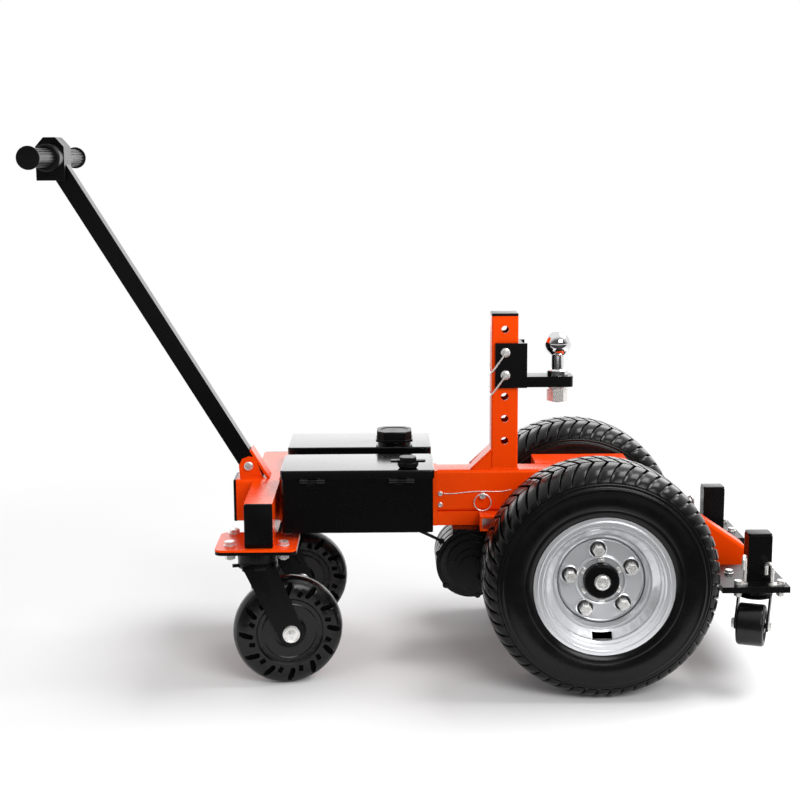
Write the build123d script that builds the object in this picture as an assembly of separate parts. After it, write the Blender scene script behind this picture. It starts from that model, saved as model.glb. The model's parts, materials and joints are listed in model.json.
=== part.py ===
from build123d import *
from math import acos, atan2, cos, degrees, pi, radians, sin, sqrt
import os

os.makedirs("parts", exist_ok=True)

# Every size is in millimetres. X is measured from the drive axle while the pieces
# are made, and place() moves them to the middle of the dolly's length.

# Clearances
running_gap = 0.05
side_gap = 0.5
curved_gap = 0.3

# Drive wheels
tyre_radius = 210.0
tyre_width = 165.0
tread_half = 66.0
tyre_wall = 11.0
tyre_bead_radius = 104.5
wheel_track = 404.0
rim_flange_radius = 124.0
rim_half_width = 75.0
rim_wall = 4.0
rim_well_radius = 92.0
rim_disc_offset = 30.0
rim_disc_radius = 77.0
rim_bore_radius = 31.5
hand_hole_length = 35.0
hand_hole_width = 12.0
lug_count = 5
lug_circle = 114.3
lug_first_angle = 97.0
stud_radius = 6.0
lug_nut_across = 19.0
lug_nut_length = 20.0
hub_flange_radius = 71.0
hub_flange_thickness = 8.0
hub_boss_length = 16.0

# Half shafts, axle tubes and bearings
shaft_radius = 15.0
axle_tube_radius = 30.0
axle_tube_wall = 5.0
axle_tube_reach = 196.0
bearing_width = 12.0

# Chassis tubes
tube_wall = 4.0
beam_width = 60.0
beam_above_axle = 155.7
beam_height = 79.3
beam_corner = 7.0
beam_back = -282.0
beam_front = 82.6
flange_thickness = 10.0
nose_tip = 306.0
nose_tip_rise = 2.4
nose_bottom_drop = 47.0
nose_corner = 8.0
nose_foot_start = 215.0
rear_beam_width = 67.0
rear_beam_height = 80.0
rear_beam_drop = 14.7
crossbar_centre = -603.0
crossbar_width = 50.0
crossbar_length = 452.0
stub_back = -661.0
stub_width = 72.0
cap_thickness = 5.0
rail_width = 64.0
rail_front = -204.0
rail_height = 27.0
cross_member_length = 62.0
cross_member_height = 28.0
cross_member_near = 75.0
carrier_length = 182.0
carrier_outer = 115.0
carrier_plate = 8.0
carrier_foot = 46.0

# Front cross plate, bumper posts and chain hooks
front_plate_back = 214.0
front_plate_front = 334.0
front_plate_half = 240.0
front_wing_rise = 33.5
front_plate_thickness = 11.0
front_plate_drop_half = 95.0
front_bolt_x = 283.5
front_bolt_spacing_x = 76.0
front_bolt_spacing_y = 72.0
post_y = 186.0
post_x = 288.2
post_length_x = 42.5
post_length_y = 33.0
post_wall = 3.0
post_height = 82.0
hook_rod_radius = 3.2
hook_bend = 8.5
hook_tail = 22.0
hook_turn = 66.0
rear_hook_height = 57.0
front_hook_height = 41.0
rear_hook_inset = 11.3
front_hook_inset = 18.0
front_hook_forward = 9.0
hook_foot_width = 14.0
hook_foot_thickness = 2.5
bolt_hole_radius = 4.3

# Rear caster plates and casters
plate_length = 144.0
plate_depth = 126.0
plate_centre_x = -608.5
plate_centre_y = 178.5
plate_thickness = 4.0
race_plate_thickness = 6.0
plate_corner = 14.0
caster_y = 166.0
caster_bolt_spacing_x = 95.0
caster_bolt_spacing_y = 84.0
caster_swivel_x = -611.0
caster_turn = 12.5
caster_trail = 53.0
caster_wheel_radius = 100.0
caster_wheel_width = 50.0
caster_core_radius = 62.0
caster_notches = 12
caster_notch_tilt = 18.0
caster_leg_thickness = 5.0
caster_leg_gap = 4.0
caster_head_height = 34.0
caster_crown_radius = 36.0
caster_axle_radius = 8.0
caster_head_cap_radius = 15.5

# Front casters
small_swivel_x = 285.5
small_trail = 37.3
small_wheel_radius = 37.5
small_wheel_width = 47.5
small_wheel_drop = 74.5
small_turn = 68.75
small_leg_thickness = 3.5
small_leg_gap = 2.5
small_crown_radius = 33.0
small_crown_drop = 14.0
small_axle_radius = 5.0
small_plate_thickness = 3.0

# Mast and tow ball
mast_x = -155.3
mast_width = 50.0
mast_height = 290.3
mast_hole_radius = 7.0
mast_hole_drop = 25.0
mast_hole_pitch = 42.1
mast_holes = 6
mast_corner = 4.0
gusset_size = 40.0
mount_back = -174.0
mount_front = -114.5
mount_rise = 17.1
mount_cheek = 8.0
arm_drop = 24.8
arm_thickness = 20.0
arm_width = 50.0
arm_end = -27.0
ball_x = -54.5
ball_radius = 25.0
ball_rise = 59.4
ball_neck_radius = 12.0
ball_collar_radius = 20.5
ball_collar_height = 12.0
ball_shank_radius = 9.5
ball_nut_across = 34.0
ball_nut_height = 22.0
ball_washer_stack = 7.0
pin_radius = 6.3
pin_head_radius = 9.0
pin_head_length = 7.0
bail_wire_radius = 1.5
bail_eye_radius = 4.4
bail_reach = 47.0
bail_dip = 54.5

# Battery and controller boxes
box_back_gap = 13.0
box_front_gap = 2.5
box_drop = 81.7
box_height = 110.0
box_depth = 143.0
box_wall = 3.0
lid_rise = 4.5
lid_skirt = 15.5
lid_wall = 2.0
lid_gap = 0.5
hinge_pin_radius = 1.5
hinge_knuckle_radius = 3.5
hinge_drop = 3.2
hinge_length = 45.0
hinge_leaf_height = 14.5
hinge_inset = 55.0
hinge_spacing = 159.0
hinge_knuckle_gap = 0.4
battery_end_gap = 14.25
battery_side_gap = 9.5
battery_height = 66.0
controller_length = 170.0
controller_width = 108.0
controller_height = 38.0
controller_fins = 9
knob_inset_x = 44.6
knob_inset_y = 22.0
knob_base_radius = 19.0
knob_base_height = 10.5
knob_block = 30.0
knob_block_height = 10.0
knob_wing_span = 63.0
knob_wing_width = 13.0
knob_wing_height = 4.0
charge_inset_x = 67.9
charge_inset_y = 38.5
charge_flange_half = 35.5
charge_flange_height = 4.5
charge_cap_half = 33.5
charge_cap_height = 20.5
charge_ring_height = 7.0
stem_radius = 6.0

# Motor and gear train
gear_module = 2.5
pinion_teeth = 17
reduction_teeth = 42
small_teeth = 17
idler_teeth = 28
axle_teeth = 45
gear_backlash = 0.45
gear_face = 14.0
axle_gear_face = 18.0
gear_line_drop = 16.0
case_wall = 4.0
case_room = 4.5
case_inner = 36.0
case_first_gear = 46.0
case_second_gear = 64.0
case_outer = 90.0
gear_pin_radius = 8.0
motor_radius = 65.0
motor_wall = 5.0
motor_near = -66.0
motor_shaft_radius = 9.0
motor_lugs = 6
stator_bore = 38.0
stator_near_gap = 20.0
stator_far_gap = 18.0
air_gap = 1.0
saddle_back = 34.0
saddle_front = 14.0
saddle_drop = 40.0

# Handle
handle_pivot_x = -637.4
handle_pivot_rise = 24.0
handle_angle = 58.85
handle_tube_size = 32.0
handle_tube_wall = 2.5
handle_reach = 672.0
handle_bolt_radius = 6.0
handle_bolt_station = 600.0
clevis_cheek = 6.0
clevis_plate = 5.0
head_width = 52.0
head_depth = 58.0
head_above = 37.0
head_below = 41.0
head_wall = 3.0
head_chamfer_side = 15.0
head_chamfer_down = 17.0
bar_radius = 11.1
bar_half_length = 190.0
grip_radius = 17.0
grip_flange_radius = 20.5
grip_flange = 4.0
grip_start = 60.0
grip_ribs = 18
throttle_collar_radius = 25.0
rocker_width = 16.0
rocker_height = 24.0
rocker_proud = 2.0

# Small hardware on the beam
beam_bolt_x = -276.5
beam_bolt_drop = 44.7
beam_bolt_pitch = 21.5
release_x = -196.6
release_drop = 48.7
release_radius = 4.0
release_head_radius = 6.2
release_ring_radius = 16.0
release_ring_hang = 3.5
release_ring_wire = 1.2
lanyard_radius = 0.9
cable_radius = 3.0

# Heights, all carried up from the axle
beam_top = tyre_radius + beam_above_axle
beam_bottom = beam_top - beam_height
nose_tip_top = tyre_radius + nose_tip_rise
nose_bottom = tyre_radius - nose_bottom_drop
rear_beam_top = beam_top - rear_beam_drop
rear_beam_bottom = rear_beam_top - rear_beam_height
rail_bottom = beam_bottom - rail_height
plate_top = rear_beam_bottom
race_top = plate_top - plate_thickness
race_bottom = race_top - race_plate_thickness
caster_crown_top = race_bottom - caster_head_height
front_plate_top = nose_bottom + front_wing_rise
small_wheel_top_plate = front_plate_top - front_plate_thickness
small_wheel_height = front_plate_top - small_wheel_drop
mast_top = beam_top + mast_height
mast_hole_heights = [mast_top - mast_hole_drop - mast_hole_pitch * i for i in range(mast_holes)]
pin_heights = (mast_hole_heights[1], mast_hole_heights[2])
mount_top = pin_heights[0] + mount_rise
arm_bottom = pin_heights[1] - arm_drop
ball_height = arm_bottom + arm_thickness + ball_rise
box_bottom = beam_top - box_drop
box_rim = box_bottom + box_height
lid_top = box_rim + lid_rise
handle_pivot_z = rear_beam_top + handle_pivot_rise
beam_bolt_top = beam_top - beam_bolt_drop
release_z = beam_top - release_drop

# Places worked out from the sizes above
handle_dir = Vector(-cos(radians(handle_angle)), 0, sin(radians(handle_angle)))
handle_side = Vector(sin(radians(handle_angle)), 0, cos(radians(handle_angle)))
bar_x = handle_pivot_x + handle_dir.X * handle_reach
bar_z = handle_pivot_z + handle_dir.Z * handle_reach
dolly_back = bar_x - head_width / 2 - rocker_proud
dolly_front = front_plate_front
origin_x = (dolly_back + dolly_front) / 2
tyre_y = wheel_track / 2
box_back = crossbar_centre + crossbar_width / 2 + box_back_gap
box_front = beam_back - flange_thickness - box_front_gap
box_inner = rear_beam_width / 2
box_outer = box_inner + box_depth
lid_inner = box_inner - lid_gap - lid_wall
lid_outer = box_outer + lid_gap + lid_wall
lid_back = box_back - lid_gap - lid_wall
lid_front = box_front + lid_gap + lid_wall
lid_bottom = lid_top - lid_skirt
hinge_y = lid_outer + side_gap + hinge_knuckle_radius
hinge_z = lid_bottom - hinge_drop
hinge_xs = (box_back + hinge_inset, box_back + hinge_inset + hinge_spacing)
battery_length = box_front - box_back - 2 * (box_wall + battery_end_gap)
battery_width = box_depth - 2 * (box_wall + battery_side_gap)
knob_x = box_front - knob_inset_x
knob_y = knob_inset_y - lid_outer
charge_x = box_front - charge_inset_x
charge_y = lid_inner + charge_inset_y
first_pair = (pinion_teeth + reduction_teeth) * gear_module / 2
second_pair = (small_teeth + idler_teeth) * gear_module / 2
third_pair = (idler_teeth + axle_teeth) * gear_module / 2
gear_line = first_pair + second_pair + third_pair
gear_angle = atan2(gear_line_drop, sqrt(gear_line**2 - gear_line_drop**2))


def on_gear_line(distance):
    """The point this far from the axle, along the line of the gear centres."""
    return -distance * cos(gear_angle), tyre_radius - distance * sin(gear_angle)


motor_x, motor_z = on_gear_line(gear_line)
reduction_x, reduction_z = on_gear_line(second_pair + third_pair)
idler_x, idler_z = on_gear_line(third_pair)


# Shape helpers

def block(x0, x1, y0, y1, z0, z1):
    centre = Pos((x0 + x1) / 2, (y0 + y1) / 2, (z0 + z1) / 2)
    return centre * Box(abs(x1 - x0), abs(y1 - y0), abs(z1 - z0))


def rod_y(x, z, radius, y0, y1):
    return Pos(x, (y0 + y1) / 2, z) * Rot(90, 0, 0) * Cylinder(radius, abs(y1 - y0))


def rod_x(y, z, radius, x0, x1):
    return Pos((x0 + x1) / 2, y, z) * Rot(0, 90, 0) * Cylinder(radius, abs(x1 - x0))


def rod_z(x, y, radius, z0, z1):
    return Pos(x, y, (z0 + z1) / 2) * Cylinder(radius, abs(z1 - z0))


def hex_z(x, y, across, z0, z1):
    flat = Pos(x, y, z0) * RegularPolygon(across / 2, 6, major_radius=False)
    return extrude(flat, z1 - z0)


def hex_y(x, z, across, y0, y1):
    flat = Plane.XZ * RegularPolygon(across / 2, 6, major_radius=False)
    return Pos(x, y0, z) * extrude(flat, y1 - y0, dir=(0, 1, 0))


def turned_y(points):
    """A solid of revolution about Y from (radius, y) points."""
    return revolve(make_face(Polyline(*points, close=True)), Axis.Y)


def turned_z(points):
    """A solid of revolution about Z from (radius, z) points."""
    face = make_face(Plane.XZ * Polyline(*points, close=True))
    return revolve(face, Axis.Z)


def side_plate(points, y0, y1):
    """A plate of the given (x, z) outline between two y values."""
    face = make_face(Plane.XZ * Polyline(*points, close=True))
    return Pos(0, y0, 0) * extrude(face, y1 - y0, dir=(0, 1, 0))


def box_tube(x0, x1, y0, y1, z0, z1, wall, axis):
    """A square tube, open at both ends of its axis."""
    outer = block(x0, x1, y0, y1, z0, z1)
    margins = [0 if name == axis else wall for name in "xyz"]
    inner = block(
        x0 + margins[0], x1 - margins[0], y0 + margins[1], y1 - margins[1], z0 + margins[2], z1 - margins[2]
    )
    return outer - inner


def round_along(shape, axis, radius):
    return fillet(shape.edges().filter_by(axis), radius)


def mirrored(shape):
    return mirror(shape, Plane.XZ)


def both_sides(shape):
    return [shape, mirrored(shape)]


def wire_along(points, radii, radius):
    path = FilletPolyline(*points, radius=radii)
    start = path.edges()[0]
    section = Plane(origin=start @ 0, z_dir=start % 0) * Circle(radius)
    return sweep(section, path=path)


def place(shape):
    return Pos(-origin_x, 0, 0) * shape


def save(name, *shapes):
    solids = [solid for shape in shapes for solid in shape.solids()]
    placed = [place(solid) for solid in solids]
    whole = placed[0] if len(placed) == 1 else Compound(children=placed)
    export_step(whole, f"parts/{name}.step")


# Chassis

def main_beam():
    beam = box_tube(
        beam_back, beam_front, -beam_width / 2, beam_width / 2, beam_bottom, beam_top, tube_wall, "x"
    )
    beam -= rod_y(release_x, release_z, release_radius + side_gap, -beam_width, 0)
    half = rear_beam_width / 2
    flange = block(beam_back - flange_thickness, beam_back, -half, half, rail_bottom, beam_top)
    return round_outer_edges(beam, beam_width / 2, beam_top, beam_bottom), flange


def round_outer_edges(tube, half, top, bottom):
    """Rounds the four long outer edges of a tube that runs along X."""
    edges = [
        edge
        for edge in tube.edges().filter_by(Axis.X)
        if abs(abs(edge.center().Y) - half) < 0.01
        and min(abs(edge.center().Z - top), abs(edge.center().Z - bottom)) < 0.01
    ]
    return fillet(edges, beam_corner)


def nose_arm():
    """The hollow arm that slopes down from the beam to the front plate."""
    half = beam_width / 2
    outline = Polyline(
        (beam_front, beam_bottom),
        (beam_front, beam_top),
        (nose_tip, nose_tip_top),
        (nose_tip, nose_bottom),
        (nose_foot_start, nose_bottom),
        close=True,
    )
    face = make_face(Plane.XZ * outline)
    room = offset(face, -tube_wall, kind=Kind.INTERSECTION)
    arm = extrude(face, beam_width, dir=(0, 1, 0))
    arm = round_side_edges(arm, half * 2)
    hollow = Pos(0, tube_wall, 0) * extrude(room, beam_width - 2 * tube_wall, dir=(0, 1, 0))
    return Pos(0, -half, 0) * (arm - hollow)


def round_side_edges(arm, width):
    """Rounds the arm's long upper and lower edges on both sides."""
    edges = [
        edge
        for edge in arm.edges()
        if min(abs(edge.center().Y), abs(edge.center().Y - width)) < 0.01
        and edge.length > 100
    ]
    return fillet(edges, nose_corner)


def rear_frame():
    half_bar = crossbar_width / 2
    back = crossbar_centre - half_bar
    front = crossbar_centre + half_bar
    low, top = rear_beam_bottom, rear_beam_top
    long_half = crossbar_length / 2
    crossbar = box_tube(back, front, -long_half, long_half, low, top, tube_wall, "y")
    half = rear_beam_width / 2
    beam = box_tube(front, beam_back - flange_thickness, -half, half, low, top, tube_wall, "x")
    stub = box_tube(stub_back, back, -stub_width / 2, stub_width / 2, low, top, tube_wall, "x")
    beam = round_outer_edges(beam, half, rear_beam_top, rear_beam_bottom)
    stub = round_outer_edges(stub, stub_width / 2, rear_beam_top, rear_beam_bottom)
    return crossbar, beam, stub


def drive_cradle():
    """Rail and cross member under the beam, and an axle carrier on each side."""
    half = rail_width / 2
    rail = box_tube(beam_back, rail_front, -half, half, rail_bottom, beam_bottom, tube_wall, "x")
    return rail, cross_member(), *both_sides(axle_carrier())


def cross_member():
    """A short tube across the beam's underside, open at both ends."""
    low = beam_bottom - cross_member_height
    front = rail_front + cross_member_length
    return box_tube(rail_front, front, -cross_member_near, case_inner - 2, low, beam_bottom, tube_wall, "y")


def axle_carrier():
    """A top plate and a hanging cheek that hold one axle tube."""
    half = carrier_length / 2
    foot = tyre_radius - axle_tube_radius - carrier_plate
    outline = [
        (-half, beam_top),
        (half, beam_top),
        (half, beam_bottom),
        (carrier_foot, foot),
        (-carrier_foot, foot),
        (-half, beam_bottom),
    ]
    cheek = side_plate(outline, -carrier_outer, -carrier_outer + carrier_plate)
    cheek -= rod_y(0, tyre_radius, axle_tube_radius, -carrier_outer - 1, 0)
    top = block(-half, half, -carrier_outer, -beam_width / 2, beam_top - carrier_plate, beam_top)
    back = block(-half, -half + carrier_plate, -carrier_outer, -beam_width / 2, beam_bottom, beam_top)
    return cheek + top + back


def end_cap(size_a, size_b):
    """A moulded tube plug lying in XY: a rounded face and a plug behind it."""
    face = round_along(Box(size_a, size_b, cap_thickness), Axis.Z, 4)
    face = chamfer(face.faces().sort_by(Axis.Z)[-1].edges(), 1)
    plug = Box(size_a - 2 * tube_wall - 1, size_b - 2 * tube_wall - 1, 12)
    return face + Pos(0, 0, -cap_thickness / 2 - 6) * plug


def tube_end_caps():
    middle = (rear_beam_top + rear_beam_bottom) / 2
    half = cap_thickness / 2
    side = Pos(crossbar_centre, -crossbar_length / 2 - half, middle) * Rot(90, 0, 0)
    caps = both_sides(side * end_cap(crossbar_width, rear_beam_height))
    back = Pos(stub_back - half, 0, middle) * Rot(0, -90, 0)
    caps.append(back * end_cap(rear_beam_height, stub_width))
    caps.append(Pos(mast_x, 0, mast_top + half) * end_cap(mast_width, mast_width))
    post_top = front_plate_top + post_height
    post_cap = Pos(post_x, -post_y, post_top + half) * end_cap(post_length_x, post_length_y)
    return caps + both_sides(post_cap)


# Front cross plate with its posts and hooks

def front_bolt_places():
    for dx in (-0.5, 0.5):
        for dy in (-0.5, 0.5):
            yield front_bolt_x + dx * front_bolt_spacing_x, -post_y + dy * front_bolt_spacing_y


def front_cross_plate():
    low = nose_bottom - front_plate_thickness
    t = front_plate_thickness
    inner = front_plate_drop_half
    outline = [
        (-front_plate_half, front_plate_top),
        (-inner, front_plate_top),
        (-inner, nose_bottom),
        (inner, nose_bottom),
        (inner, front_plate_top),
        (front_plate_half, front_plate_top),
        (front_plate_half, front_plate_top - t),
        (inner + t, front_plate_top - t),
        (inner + t, low),
        (-inner - t, low),
        (-inner - t, front_plate_top - t),
        (-front_plate_half, front_plate_top - t),
    ]
    face = make_face(Plane.YZ * Polyline(*outline, close=True))
    plate = extrude(face, front_plate_front - front_plate_back, dir=(1, 0, 0))
    plate = Pos(front_plate_back, 0, 0) * plate
    for x, y in front_bolt_places():
        plate -= rod_z(x, y, bolt_hole_radius, small_wheel_top_plate - 1, front_plate_top + 1)
        plate -= rod_z(x, -y, bolt_hole_radius, small_wheel_top_plate - 1, front_plate_top + 1)
    return plate


def bumper_post():
    return box_tube(
        post_x - post_length_x / 2,
        post_x + post_length_x / 2,
        -post_y - post_length_y / 2,
        -post_y + post_length_y / 2,
        front_plate_top,
        front_plate_top + post_height,
        post_wall,
        "z",
    )


def chain_hook(bolt_x, stem_x, stem_y, height, turn):
    """A bent rod on a foot that its bolt clamps down; its tip points at an angle."""
    bolt_y = -post_y - front_bolt_spacing_y / 2
    base = front_plate_top + hook_foot_thickness
    top = front_plate_top + height - hook_rod_radius
    tip_x = stem_x + 2 * hook_bend * cos(radians(turn))
    tip_y = stem_y + 2 * hook_bend * sin(radians(turn))
    points = [
        (stem_x, stem_y, base),
        (stem_x, stem_y, top),
        (tip_x, tip_y, top),
        (tip_x, tip_y, top - hook_tail),
    ]
    rod = wire_along(points, hook_bend - 0.01, hook_rod_radius)
    return rod + hook_foot(bolt_x, bolt_y, stem_x, stem_y)


def hook_foot(bolt_x, bolt_y, stem_x, stem_y):
    """A flat foot with round ends, from the bolt to the hook's stem."""
    half = hook_foot_width / 2
    length = sqrt((stem_x - bolt_x) ** 2 + (stem_y - bolt_y) ** 2)
    turn = degrees(atan2(stem_y - bolt_y, stem_x - bolt_x))
    strip = Pos(length / 2, 0, 0) * Box(length, hook_foot_width, hook_foot_thickness)
    strip += Cylinder(half, hook_foot_thickness)
    strip += Pos(length, 0, 0) * Cylinder(half * 0.8, hook_foot_thickness)
    foot = Pos(bolt_x, bolt_y, front_plate_top + hook_foot_thickness / 2) * Rot(0, 0, turn) * strip
    return foot - rod_z(bolt_x, bolt_y, bolt_hole_radius, front_plate_top - 1, front_plate_top + 10)


def chain_hooks():
    y = -post_y - front_bolt_spacing_y / 2
    rear_bolt = front_bolt_x - front_bolt_spacing_x / 2
    front_bolt = front_bolt_x + front_bolt_spacing_x / 2
    rear = chain_hook(rear_bolt, rear_bolt + rear_hook_inset, y, rear_hook_height, 180 + hook_turn)
    front = chain_hook(
        front_bolt, front_bolt - front_hook_inset, y - front_hook_forward, front_hook_height, 180 - hook_turn
    )
    return both_sides(rear) + both_sides(front)


# Rear caster plates

def caster_bolt_places():
    for dx in (-0.5, 0.5):
        for dy in (-0.5, 0.5):
            yield plate_centre_x + dx * caster_bolt_spacing_x, -caster_y + dy * caster_bolt_spacing_y


def caster_plate(low, top):
    """One rounded plate of the near rear caster, with its four bolt holes."""
    plate = block(
        plate_centre_x - plate_length / 2,
        plate_centre_x + plate_length / 2,
        -plate_centre_y - plate_depth / 2,
        -plate_centre_y + plate_depth / 2,
        low,
        top,
    )
    plate = round_along(plate, Axis.Z, plate_corner)
    for x, y in caster_bolt_places():
        plate -= rod_z(x, y, 5.3, low - 1, top + 1)
    return plate


def through_bolt(x, y, top, bottom, radius, nut_height, washer=True):
    """A hex bolt down through a plate, with washer and nut."""
    across = radius * 3.3
    under = top + (1.5 if washer else 0)
    bolt = hex_z(x, y, across, under, under + radius * 1.3)
    bolt += rod_z(x, y, radius, bottom - nut_height - 2, under)
    parts = [bolt]
    if washer:
        parts.append(rod_z(x, y, across * 0.65, top, under) - rod_z(x, y, radius, top, under))
    nut = hex_z(x, y, across, bottom - nut_height, bottom)
    parts.append(nut - rod_z(x, y, radius, bottom - nut_height, bottom))
    return parts


def frame_bolts():
    bolts = []
    for x, y in caster_bolt_places():
        for part in through_bolt(x, y, plate_top, race_bottom, 5.0, 14.0):
            bolts += both_sides(part)
    for x, y in front_bolt_places():
        outer_row = y < -post_y
        top = front_plate_top + (hook_foot_thickness if outer_row else 0)
        low = small_wheel_top_plate - small_plate_thickness
        for part in through_bolt(x, y, top, low, 4.0, 6.4, washer=not outer_row):
            bolts += both_sides(part)
    for i in range(2):
        z = beam_bolt_top - i * beam_bolt_pitch
        head = rod_y(beam_bolt_x, z, 5.0, -beam_width / 2 - 4, -beam_width / 2)
        bolts.append(fillet(head.faces().sort_by(Axis.Y)[0].edges(), 2))
    return bolts + [handle_pivot_bolt()]


# Mast and tow ball

def mast():
    half = mast_width / 2
    tube = box_tube(mast_x - half, mast_x + half, -half, half, beam_top, mast_top, tube_wall, "z")
    edges = [
        edge
        for edge in tube.edges().filter_by(Axis.Z)
        if abs(abs(edge.center().Y) - half) < 0.01 and abs(abs(edge.center().X - mast_x) - half) < 0.01
    ]
    tube = fillet(edges, mast_corner)
    for z in mast_hole_heights:
        tube -= rod_y(mast_x, z, mast_hole_radius, -mast_width, mast_width)
    return tube, mast_gusset()


def mast_gusset():
    """A closed wedge at 45 degrees between the beam and the mast's back face."""
    corner_x = mast_x - mast_width / 2
    outline = [
        (corner_x, beam_top + gusset_size),
        (corner_x - gusset_size, beam_top),
        (corner_x, beam_top),
    ]
    return side_plate(outline, -mast_width / 2, mast_width / 2)


def ball_mount():
    """Two cheeks and a web round the mast, with the arm that carries the ball."""
    half = mast_width / 2
    cheeks = block(mount_back, mount_front, -half - mount_cheek, half + mount_cheek, arm_bottom, mount_top)
    inside = block(mount_back - 1, mast_x + half, -half, half, arm_bottom - 1, mount_top + 1)
    opening = block(mast_x + half + mount_cheek, mount_front + 1, -half, half, arm_bottom - 1, mount_top + 1)
    mount = cheeks - inside - opening
    arm = block(
        mast_x + half + mount_cheek,
        arm_end,
        -arm_width / 2,
        arm_width / 2,
        arm_bottom,
        arm_bottom + arm_thickness,
    )
    tip = [edge for edge in arm.edges().filter_by(Axis.Z) if abs(edge.center().X - arm_end) < 0.01]
    mount += fillet(tip, 10)
    mount -= rod_z(ball_x, 0, ball_shank_radius + side_gap, arm_bottom - 1, mount_top)
    for z in pin_heights:
        mount -= rod_y(mast_x, z, mast_hole_radius, -mast_width, mast_width)
    return mount


def hitch_ball():
    arm_top = arm_bottom + arm_thickness
    neck_top = ball_height - sqrt(ball_radius**2 - ball_neck_radius**2)
    collar = rod_z(ball_x, 0, ball_collar_radius, arm_top, arm_top + ball_collar_height)
    collar = chamfer(collar.faces().sort_by(Axis.Z)[-1].edges(), 3)
    neck = rod_z(ball_x, 0, ball_neck_radius, arm_top, neck_top + 2)
    shank = rod_z(ball_x, 0, ball_shank_radius, ball_nut_bottom() - 2, arm_top)
    sphere = Pos(ball_x, 0, ball_height) * Sphere(ball_radius)
    flat = block(ball_x - 30, ball_x + 30, -30, 30, ball_height + ball_radius - 1.5, ball_height + 60)
    return collar + neck + shank + (sphere - flat)


def ball_nut_bottom():
    return arm_bottom - ball_washer_stack - ball_nut_height


def ball_nut_and_washers():
    low = arm_bottom - ball_washer_stack
    middle = low + ball_washer_stack / 2
    hole = rod_z(ball_x, 0, ball_shank_radius, ball_nut_bottom() - 1, arm_bottom + 1)
    flat_washer = rod_z(ball_x, 0, ball_nut_across * 0.56, middle, arm_bottom) - hole
    lock_washer = rod_z(ball_x, 0, ball_nut_across * 0.5, low, middle) - hole
    nut = hex_z(ball_x, 0, ball_nut_across, ball_nut_bottom(), low) - hole
    return flat_washer, lock_washer, nut


def hitch_pin(z):
    """A cross pin with a domed head; its ends carry the wire bail."""
    face = mast_width / 2 + mount_cheek
    pin = rod_y(mast_x, z, pin_radius, -face - 1, face + pin_head_length + 2)
    head = rod_y(mast_x, z, pin_head_radius, -face - pin_head_length, -face)
    return pin + fillet(head.faces().sort_by(Axis.Y)[0].edges(), 4)


def bail_plane_y():
    return mast_width / 2 + mount_cheek + pin_head_length + 2 * bail_wire_radius + 1


def wire_bail(z):
    """A spring wire from the pin's head round the mast to the pin's far end."""
    side = bail_plane_y()
    reach_x = mast_x - bail_reach * cos(radians(bail_dip))
    reach_z = z - bail_reach * sin(radians(bail_dip))
    points = [
        (mast_x, -side, z),
        (reach_x, -side, reach_z),
        (reach_x, side, reach_z),
        (mast_x, side, z),
    ]
    wire = wire_along(points, 12, bail_wire_radius)
    half = bail_wire_radius + 0.3
    eyes = rod_y(mast_x, z, bail_eye_radius, -side - half, -side + half)
    eyes += rod_y(mast_x, z, bail_eye_radius, side - half, side + half)
    return wire + eyes


# Boxes, lids and what they hold

def battery_box():
    outer = block(box_back, box_front, -box_outer, -box_inner, box_bottom, box_rim)
    outer = round_along(outer, Axis.Z, 6)
    inner = block(
        box_back + box_wall,
        box_front - box_wall,
        -box_outer + box_wall,
        -box_inner - box_wall,
        box_bottom + box_wall,
        box_rim + 1,
    )
    return outer - round_along(inner, Axis.Z, 3)


def near_battery_box():
    """The near box, with the gland that its cable leaves through."""
    start, after = Vector(*cable_points()[0]), Vector(*cable_points()[1])
    upward = (start - after).normalized()
    gland = Plane(origin=start, z_dir=upward) * Pos(0, 0, 4) * Cylinder(cable_radius + 2, 8)
    inside = block(box_back, box_front, -box_outer, -box_inner, box_bottom + box_wall / 2, box_rim)
    return battery_box() + (gland - inside)


def lid_shell():
    outer = block(lid_back, lid_front, -lid_outer, -lid_inner, lid_bottom, lid_top)
    outer = round_along(outer, Axis.Z, 8)
    outer = fillet(outer.faces().sort_by(Axis.Z)[-1].edges(), 2.5)
    inner = block(
        lid_back + lid_wall,
        lid_front - lid_wall,
        -lid_outer + lid_wall,
        -lid_inner - lid_wall,
        lid_bottom - 1,
        box_rim + side_gap,
    )
    return outer - round_along(inner, Axis.Z, 6)


def knuckle(x0, x1):
    bush = rod_x(-hinge_y, hinge_z, hinge_knuckle_radius, x0, x1)
    return bush - rod_x(-hinge_y, hinge_z, hinge_pin_radius + running_gap, x0, x1)


def lid_with_knuckles():
    """The lid and, at each hinge, its two outer knuckles on short arms."""
    lid = lid_shell()
    for x in hinge_xs:
        for side in (-1, 1):
            x0 = x + side * hinge_length / 2
            x1 = x + side * (hinge_length / 6 + hinge_knuckle_gap)
            low, high = min(x0, x1), max(x0, x1)
            arm = block(low, high, -hinge_y, -lid_outer + lid_wall / 2, hinge_z, lid_bottom + 3)
            arm -= rod_x(-hinge_y, hinge_z, hinge_knuckle_radius, low, high)
            arm -= block(low, high, -box_outer - 0.6, 0, hinge_z - 10, lid_bottom)
            lid += arm + knuckle(low, high)
    return lid


def near_lid():
    return lid_with_knuckles() - rod_z(knob_x, knob_y, stem_radius + running_gap, lid_bottom, lid_top + 1)


def far_lid():
    lid = mirrored(lid_with_knuckles())
    ring = rod_z(charge_x, charge_y, charge_cap_half - 1, lid_top - 0.5, lid_top + charge_ring_height)
    bore = rod_z(charge_x, charge_y, stem_radius + running_gap, lid_bottom, lid_top + 50)
    return lid + fillet(ring.faces().sort_by(Axis.Z)[-1].edges(), 1.5) - bore


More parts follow.
